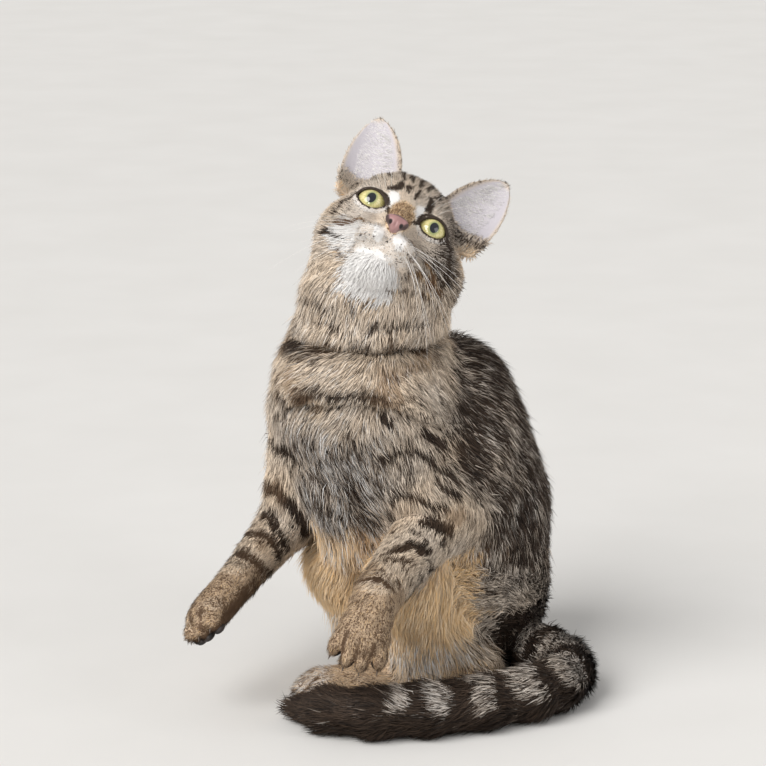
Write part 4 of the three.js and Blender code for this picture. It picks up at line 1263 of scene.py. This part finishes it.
fur = coat_material("ticked fur", 0.62, 0.6)
short_fur = coat_material("short fur", 0.6, 0.35)
face_length = hair_of(skin_shares)[1][skin_faces].mean(axis=1)
face_ear = ear_marks(in_head(face_middles))
on_ear = face_ear[2] > 0.45
face_growth = growth(face_middles)


def on_limbs(*names):
    return np.isin(face_limbs, [limb_names.index(name) for name in names])


FACE_HAIR = 6.2            # the face has shorter hair than this
on_face = on_limbs("head") & ~on_ear & (face_length < FACE_HAIR)
on_crown = on_limbs("head") & ~on_ear & (face_length >= FACE_HAIR)
on_paws = on_limbs("forepaw_left", "forepaw_right", "hind_foot_left", "hind_foot_right")
regions = (  # name, faces, tufts to a square millimetre, bent, colour slot
    ("coat_face", on_face, 3.0, False, "coat_buff"),
    ("coat_crown_and_cheeks", on_crown, 1.9, True, "coat_brown"),
    ("coat_neck", on_limbs("neck"), 1.25, True, "coat_brown"),
    ("coat_trunk", on_limbs("trunk"), 1.1, True, "coat_grey"),
    ("coat_forelegs", on_limbs("foreleg_left", "foreleg_right"), 1.45, True, "coat_grey"),
    ("coat_haunches", on_limbs("hindleg_left", "hindleg_right"), 1.05, True, "coat_orange"),
    ("coat_tail", on_limbs("tail"), 1.1, True, "coat_dark"),
    ("coat_paws", on_paws, 1.6, False, "coat_buff"),
)
for name, chosen, density, bent, slot in regions:
    chosen = chosen & (face_growth > 0.02)
    root, normal = spread_roots(chosen, density)
    grown = growth(root)
    keep = (grown > 0.05) & (root[:, 2] > 0.9)
    root, normal, grown = root[keep], normal[keep], grown[keep]
    depth, length, width = hair_of(shares(root))
    at_edge = np.exp(-((root[:, 2] - np.interp(root[:, 0], *chest_fold) - 4) / 6) ** 2)
    at_edge += np.exp(-((root[:, 2] - np.interp(root[:, 0], *neck_crease) - 5) / 5) ** 2)
    length *= 1 - 0.5 * np.minimum(at_edge, 1) * (root[:, 1] < -60) * (np.abs(root[:, 0]) < 58)
    length = np.maximum(length * (0.25 + 0.75 * grown), 1.0)
    lift = np.arcsin(np.clip(0.85 * depth * (0.4 + 0.6 * grown) / length, 0.05, 0.6))
    tuft_pieces(name, slot, root, normal, length, width, lift, bent, fur if bent else short_fur)

# The ears' own hair: short fur on the backs and rims, and long pale hairs across the cup from
# its inner edge.

ear_roots, ear_normals = spread_roots(on_ear, 2.2)
q = in_head(ear_roots)
bare = ear_marks(q)[0]
ear_way, cup_way = np.zeros_like(q), np.zeros_like(q)
ear_edge = np.zeros(len(q))
for place in ears.values():
    inner, outer, tip = (np.array(v, float) for v in place)
    across, t, ahead = ear_place(q, *place)[:3]
    mine = (np.abs(across) < 1.4) & (np.abs(ahead) < 5) & (t > -0.3) & (t < 1.2)
    axis, span = unit(tip - (inner + outer) / 2), unit(outer - inner)
    rise = axis + span * (across * 0.35)[:, None] * (1 - t)[:, None]
    ear_way[mine] = rise[mine]
    cup_way[mine] = (span * 0.75 + axis * 0.65)[None]
    ear_edge = np.where(mine, across, ear_edge)
outside = bare < 0.5
ear_way = laid_on(ear_way @ HEAD, ear_normals)
keep = outside & (np.linalg.norm(ear_way, axis=1) > 0.1)
rim_hair = smooth_step(0.7, 1.0, np.abs(ear_edge[keep]))
tuft_pieces(
    "coat_ears", "coat_buff", ear_roots[keep], ear_normals[keep], 2.4 + 0.5 * rim_hair,
    np.full(keep.sum(), 0.34), np.full(keep.sum(), 0.13), False, short_fur, way=unit(ear_way[keep]))
cup_way = laid_on(cup_way @ HEAD, ear_normals)
keep = ~outside & (ear_edge < 0.5) & (dice.uniform(0, 1, len(bare)) < 0.5)
inner_length = 3.5 + 5.5 * smooth_step(0.2, -0.8, ear_edge[keep])
tuft_pieces(
    "ear_hairs", "coat_buff", ear_roots[keep], ear_normals[keep], inner_length,
    np.full(keep.sum(), 0.2), np.full(keep.sum(), 0.08), True, short_fur, way=unit(cup_way[keep]),
    tint=dict(dark=0.0, warm=0.0, pale=0.95))

# ---------------------------------------------------------------------------------------------
# The eyes: moulded balls with a clear domed front, a yellow-green iris with fine rays in it and
# a tall oval pupil, set behind the lids.

PUPIL_HALF_WIDTH, PUPIL_HALF_HEIGHT, IRIS_RADIUS = 2.6, 3.3, 8.6
CORNEA_RISE = 0.7
EYE_COLUMNS = 72


def eye_material():
    material, nodes, links, shader = blank_material("glass eye", 0.06)
    shader.inputs["Coat Weight"].default_value = 1.0
    shader.inputs["Coat Roughness"].default_value = 0.02
    disc = attribute(nodes, "disc")
    split = nodes.new("ShaderNodeSeparateXYZ")
    links.new(disc.outputs["Vector"], split.inputs[0])

    mixed, ramped, maths = wiring(nodes, links)
    x, y = split.outputs[0], split.outputs[1]
    out = maths("SQRT", maths("ADD", maths("MULTIPLY", x, x), maths("MULTIPLY", y, y)))
    px, py = maths("DIVIDE", x, PUPIL_HALF_WIDTH), maths("DIVIDE", y, PUPIL_HALF_HEIGHT)
    pupil = maths("SQRT", maths("ADD", maths("MULTIPLY", px, px), maths("MULTIPLY", py, py)))
    turn = maths("ARCTAN2", y, x)
    rays = nodes.new("ShaderNodeTexNoise")
    rays.noise_dimensions = "2D"
    rays.inputs["Scale"].default_value = 1.0
    rays.inputs["Detail"].default_value = 4
    spread = nodes.new("ShaderNodeCombineXYZ")
    links.new(maths("MULTIPLY", turn, 14.0), spread.inputs[0])
    links.new(maths("MULTIPLY", out, 0.35), spread.inputs[1])
    links.new(spread.outputs[0], rays.inputs["Vector"])
    iris = mixed(ramped(rays.outputs["Fac"], (0.3, 0.7)), (0.55, 0.49, 0.17), (0.86, 0.77, 0.39))
    iris = mixed(ramped(pupil, (1.7, 1.0)), iris, (0.30, 0.34, 0.14))
    iris = mixed(ramped(out, (IRIS_RADIUS - 1.4, IRIS_RADIUS - 0.1)), iris, (0.12, 0.11, 0.04))
    iris = mixed(ramped(out, (IRIS_RADIUS - 0.1, IRIS_RADIUS + 0.4)), iris, (0.05, 0.04, 0.035))
    iris = mixed(ramped(pupil, (1.06, 0.97)), iris, (0.004, 0.006, 0.012))
    links.new(iris, shader.inputs["Base Color"])
    return material


eye_glass = eye_material()
polar = np.concatenate((np.linspace(0, 1.15, 40), np.linspace(1.2, np.pi, 18)))
turns = np.arange(EYE_COLUMNS) * 2 * np.pi / EYE_COLUMNS


def round_faces(rows, columns):
    """Faces of a closed grid of rings: four-sided, drawn to a point at both ends."""
    row, column = np.meshgrid(np.arange(rows - 1), np.arange(columns), indexing="ij")
    a, b = row * columns + column, row * columns + (column + 1) % columns
    return np.stack((a, b, b + columns, a + columns), -1).reshape(-1, 4)


for name, side in (("eye_left", 1), ("eye_right", -1)):
    flip = np.array((side, 1, 1))
    gaze = unit((EYE[2] * flip) @ HEAD)
    up = unit(HEAD[2] - gaze * (HEAD[2] @ gaze))
    right = np.cross(up, gaze)
    theta, phi = np.meshgrid(polar, turns, indexing="ij")
    dome = EYE_RADIUS - 0.25 + CORNEA_RISE * np.maximum(1 - (theta / 0.95) ** 2, 0) ** 2
    disc = np.stack((dome * np.sin(theta) * np.cos(phi), dome * np.sin(theta) * np.sin(phi)), -1)
    place = disc[..., :1] * right + disc[..., 1:] * up + (dome * np.cos(theta))[..., None] * gaze
    centre = on_head(EYE_SPREAD * side, 0, 0)
    rounds = round_faces(len(polar), EYE_COLUMNS)
    ball = new_piece(f"{name}_ball", (place + centre).reshape(-1, 3), rounds, eye_glass, "eye")
    layer = ball.data.attributes.new("disc", "FLOAT_VECTOR", "POINT")
    flat = np.concatenate((disc, np.zeros((*disc.shape[:2], 1))), -1).astype(np.float32)
    layer.data.foreach_set("vector", flat.ravel())
    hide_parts(name)

# ---------------------------------------------------------------------------------------------
# The nose: a bare pad of pebbled pink leather with a dark edge, two comma-shaped nostrils and a
# groove down the middle.

NOSE_RADII = np.array((8.2, 5.4, 5.6))
NOSE_MIDDLE = np.array((0, 30.5, -17.3))


def nose_distance(q):
    m = both_sides(q)
    s = (q - NOSE_MIDDLE) / NOSE_RADII
    k = np.linalg.norm(s, axis=1)
    d = k * (k - 1) / np.maximum(np.linalg.norm(s / NOSE_RADII, axis=1), 1e-6)
    taper = (m[:, 0] - 5.9 - 0.95 * (m[:, 2] - NOSE_MIDDLE[2])) * 0.72
    d = -blend(-d, -taper, 1.6)
    d = -blend(-d, nostril_distance(m), 0.7)
    return -blend(-d, off_line(q, ((0, 36.2, -17.5), (0, 34.0, -23.5))) - 0.45, 0.7)


def nostril_distance(m):
    hole = np.linalg.norm((m - (3.7, 35.2, -19.0)) / (1.1, 2.8, 1.3), axis=1) - 1
    return np.minimum(hole * 1.2, off_line(m, ((4.0, 34.8, -19.2), (6.9, 31.8, -17.8))) - 0.6)


def mottled(nodes, links, scale, first, second, detail=2, ends=(0, 1)):
    """A colour that drifts between two through the solid, and the place that it is read from."""
    place = nodes.new("ShaderNodeTexCoord")
    noise = nodes.new("ShaderNodeTexNoise")
    noise.inputs["Scale"].default_value, noise.inputs["Detail"].default_value = scale, detail
    ramp = nodes.new("ShaderNodeValToRGB")
    for stop, position, colour in zip(ramp.color_ramp.elements, ends, (first, second)):
        stop.position, stop.color = position, (*colour, 1)
    links.new(place.outputs["Object"], noise.inputs["Vector"])
    links.new(noise.outputs["Fac"], ramp.inputs[0])
    return ramp.outputs["Color"], place


def pad_material(name, deep, light, roughness):
    """Pebbled leather, darkened by its hollow mask: painted shade in the nose's nostrils, the nose pad's
    own dark edge, and random darker patches on the paw pads.
    """
    material, nodes, links, shader = blank_material(name, roughness)
    lighter = tuple(c * 1.25 for c in light)
    leather, place = mottled(nodes, links, 260, light, lighter, ends=(0.35, 0.7))
    mixed = wiring(nodes, links)[0]
    shade = mixed(attribute(nodes, "hollow").outputs["Fac"], leather, deep)
    links.new(shade, shader.inputs["Base Color"])
    pebbles = nodes.new("ShaderNodeTexVoronoi")
    pebbles.inputs["Scale"].default_value = 1500
    links.new(place.outputs["Object"], pebbles.inputs["Vector"])
    bump = nodes.new("ShaderNodeBump")
    bump.inputs["Strength"].default_value = 0.35
    bump.inputs["Distance"].default_value = 0.0003
    links.new(pebbles.outputs["Distance"], bump.inputs["Height"])
    links.new(bump.outputs["Normal"], shader.inputs["Normal"])
    return material


def set_hollow(piece, values):
    layer = piece.data.attributes.new("hollow", "FLOAT", "POINT")
    layer.data.foreach_set("value", np.asarray(values, np.float32))


nose_axes = [
    np.arange(lo, hi, 0.4)[:count]
    for lo, hi, count in ((-10, 10.1, 49), (23.4, 38.3, 37), (-25, -10.2, 37))
]
nose_points, nose_faces = surface_of(nose_distance, nose_axes)
nose_faces = nose_faces[:, ::-1]
# The dark in and just round the nostrils is painted shade in the holes; the pad's dark edge is its own
# colour.
deep = 1 - smooth_step(0.0, 0.6, nostril_distance(both_sides(nose_points)))
from_middle = nose_points - NOSE_MIDDLE
edge = smooth_step(-1.6, -0.2, np.abs(from_middle[:, 0]) - 5.6 - 0.55 * from_middle[:, 2])
edge = np.maximum(edge, smooth_step(-14.4, -12.9, nose_points[:, 2]))
nose = new_piece(
    "nose_pad", on_head(0, 0, 0) + nose_points @ HEAD, nose_faces,
    pad_material("nose leather", (0.016, 0.010, 0.010), (0.34, 0.185, 0.18), 0.42), "nose_leather")
set_hollow(nose, np.clip(np.maximum(deep, 0.85 * edge), 0, 1))
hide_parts("nose")

# ---------------------------------------------------------------------------------------------
# Pads and claws: dark rubbery cushions under each toe and palm, and a curved horn claw drawn
# back at the end of each toe.

pad_leather = pad_material("pad leather", (0.012, 0.01, 0.009), (0.040, 0.030, 0.027), 0.6)


def oval_mesh(centre, axes, radii, rows=12, columns=16):
    turns = np.arange(columns) * 2 * np.pi / columns
    theta, phi = np.meshgrid(np.linspace(0, np.pi, rows), turns, indexing="ij")
    unit_ball = np.stack((np.sin(theta) * np.cos(phi), np.sin(theta) * np.sin(phi), np.cos(theta)), -1)
    points = centre + (unit_ball * radii) @ np.asarray(axes)
    return points.reshape(-1, 3), round_faces(rows, columns)


def claw_mesh(root, ahead, down, length, radius):
    """A horn that curves down and comes to a point."""
    t = np.linspace(0, 1, 8)
    middle = root + ahead * (length * t)[:, None] + down * (length * 0.55 * t ** 2)[:, None]
    side = np.cross(ahead, down)
    wide = radius * (1 - t) ** 0.8 + 0.03
    turn = np.arange(8) * np.pi / 4
    ring = np.cos(turn)[None, :, None] * side + np.sin(turn)[None, :, None] * down
    points = middle[:, None] + ring * wide[:, None, None]
    return points.reshape(-1, 3), round_faces(8, 8)


def joined(parts):
    points, faces, start = [], [], 0
    for p, f in parts:
        points.append(p)
        faces.append(f + start)
        start += len(p)
    return np.concatenate(points), np.concatenate(faces)


all_pads, all_claws = [], []
for limb, frame_of_paw in paws.items():
    palm, ahead, side, back = frame_of_paw
    r = dict(
        forepaw_left=left_girths["forepaw"], forepaw_right=right_girths["forepaw"],
    ).get(limb, HINDPAW_GIRTH)
    cushion = palm - back * r * 0.62 - ahead * r * 0.25
    all_pads.append(oval_mesh(cushion, (ahead, side, back), (r * 0.36, r * 0.5, r * 0.2)))
    for toe, axes in toes(frame_of_paw, r):
        cushion = toe - back * r * 0.40 + ahead * r * 0.12
        all_pads.append(oval_mesh(cushion, axes, (r * 0.32, r * 0.24, r * 0.17)))
        horn = toe + axes[0] * r * 0.50 - back * r * 0.08
        all_claws.append(claw_mesh(horn, axes[0], -back, r * 0.24, r * 0.055))
pad_points, pad_faces = joined(all_pads)
pad_points[:, 2] = np.maximum(pad_points[:, 2], 0.2)
pads = new_piece("paw_pads", pad_points, pad_faces, pad_leather, "nose_leather")
set_hollow(pads, 0.5 + 0.5 * cloud(pad_points, 3, 60))


def mottled_material(name, roughness, *finish, **more):
    """A plain solid finish that drifts between two colours."""
    material, nodes, links, shader = blank_material(name, roughness)
    links.new(mottled(nodes, links, *finish, **more)[0], shader.inputs["Base Color"])
    return material, shader


claw_points, claw_faces = joined(all_claws)
claw_points[:, 2] = np.maximum(claw_points[:, 2], 0.2)
horn = mottled_material("claw horn", 0.35, 800, (0.03, 0.022, 0.018), (0.16, 0.12, 0.09))[0]
new_piece("claws", claw_points, claw_faces, horn, "nose_leather")

# ---------------------------------------------------------------------------------------------
# Whiskers: stiff tapering white hairs in rows on the upper lip, and a few over each eye.

WHISKER_RADIUS = 0.09


def whisker_mesh(root, way, sag, length, radius):
    t = np.linspace(0, 1, 12)
    middle = root + way * (length * t)[:, None] + sag * (length * t ** 2)[:, None]
    side = unit(np.cross(way, sag))
    up = np.cross(side, way)
    wide = radius * (1 - t) ** 0.7 + 0.03
    turn = np.arange(5) * 2 * np.pi / 5
    ring = np.cos(turn)[None, :, None] * side + np.sin(turn)[None, :, None] * up
    return (middle[:, None] + ring * wide[:, None, None]).reshape(-1, 3), round_faces(12, 5)


hairs = []
for side in (1, -1):
    flip = np.array((side, 1, 1))
    for row in range(3):
        for spot in range(4):
            root = np.array((9 + 2.4 * spot, 25.0 - 1.6 * spot - 0.6 * row, -23.5 - 2.4 * row))
            way = unit((1.0, 0.42 - 0.30 * spot, 0.05 - 0.42 * row))
            length = (38 + 7 * spot - 5 * row) * (1.0 if side > 0 else 0.8) * dice.uniform(0.85, 1.1)
            sag = np.array((0, -0.22, -0.30)) * dice.uniform(0.6, 1.4)
            hairs.append(whisker_mesh(
                on_head(*(root * flip)), unit((way * flip) @ HEAD), (sag * flip) @ HEAD, length,
                WHISKER_RADIUS if side > 0 else WHISKER_RADIUS * 0.8))
    for spot in range(3):
        root = np.array((13 + 3 * spot, 10 - spot, 12.5 - 1.2 * spot))
        way = unit((0.35 + 0.2 * spot, 0.45, 0.8))
        hairs.append(whisker_mesh(
            on_head(*(root * flip)), unit((way * flip) @ HEAD), np.array((0.1 * side, -0.4, 0)) @ HEAD,
            17 + 3 * spot, WHISKER_RADIUS * 0.5))

whisker_points, whisker_faces = joined(hairs)
stiff_hair = mottled_material("whisker", 0.35, 60, (0.78, 0.74, 0.70), (0.95, 0.93, 0.90))[0]
new_piece("whiskers", whisker_points, whisker_faces, stiff_hair, "coat_buff")

# ---------------------------------------------------------------------------------------------
# The studio: a pale floor that runs back to a pale room, a soft key light from the front left,
# two weaker lamps from the front and the right, and a long lens a little above the cat.

LENS_AT, LENS_TO, LENS_MM = (0, -1700, 620), (0, 0, 185), 131.95
FLOOR_SIZE = 14

pale_floor, floor_shader = mottled_material(
    "pale floor", 0.9, 9, (0.73, 0.72, 0.70), (0.80, 0.79, 0.775), detail=6)
floor_shader.inputs["Specular IOR Level"].default_value = 0.1
bpy.ops.mesh.primitive_plane_add(size=FLOOR_SIZE)
floor = bpy.context.object
floor.name = "floor"
floor.data.materials.append(pale_floor)


def add_light(name, place, size, power, colour):
    data = bpy.data.lights.new(name, "AREA")
    data.size, data.energy, data.color = size, power, colour
    light = bpy.data.objects.new(name, data)
    light.location = place
    aim = bpy.data.objects["floor"].location - light.location
    aim.z += 0.2
    light.rotation_euler = aim.to_track_quat("-Z", "Y").to_euler()
    bpy.context.scene.collection.objects.link(light)


add_light("front", (-0.55, -1.5, 0.85), 0.35, 3.0, (1.0, 0.99, 0.97))
add_light("side", (1.3, -0.9, 0.9), 0.9, 4.0, (0.99, 0.99, 1.0))
sun = bpy.data.objects.new("key", bpy.data.lights.new("key", "SUN"))
sun.data.energy, sun.data.angle, sun.data.color = 2.5, 0.7, (1.0, 0.985, 0.965)
sun.rotation_euler = (0.80, -0.25, -0.55)
bpy.context.scene.collection.objects.link(sun)
world = bpy.data.worlds.new("room")
world.use_nodes = True
room_light = world.node_tree.nodes["Background"].inputs
room_light["Color"].default_value = (1.0, 0.99, 0.975, 1)
room_light["Strength"].default_value = 0.46
bpy.context.scene.world = world
bpy.context.scene.view_settings.view_transform = "Standard"

camera = bpy.data.objects.new("camera", bpy.data.cameras.new("camera"))
camera.data.lens, camera.data.sensor_width = LENS_MM, 36
camera.location = [float(v) for v in to_frame(LENS_AT)]
aim = bpy.data.objects.new("aim", None).location.copy()
aim[:] = [float(v) for v in to_frame(LENS_TO)]
camera.rotation_euler = (aim - camera.location).to_track_quat("-Z", "Y").to_euler()
bpy.context.scene.collection.objects.link(camera)
bpy.context.scene.camera = camera
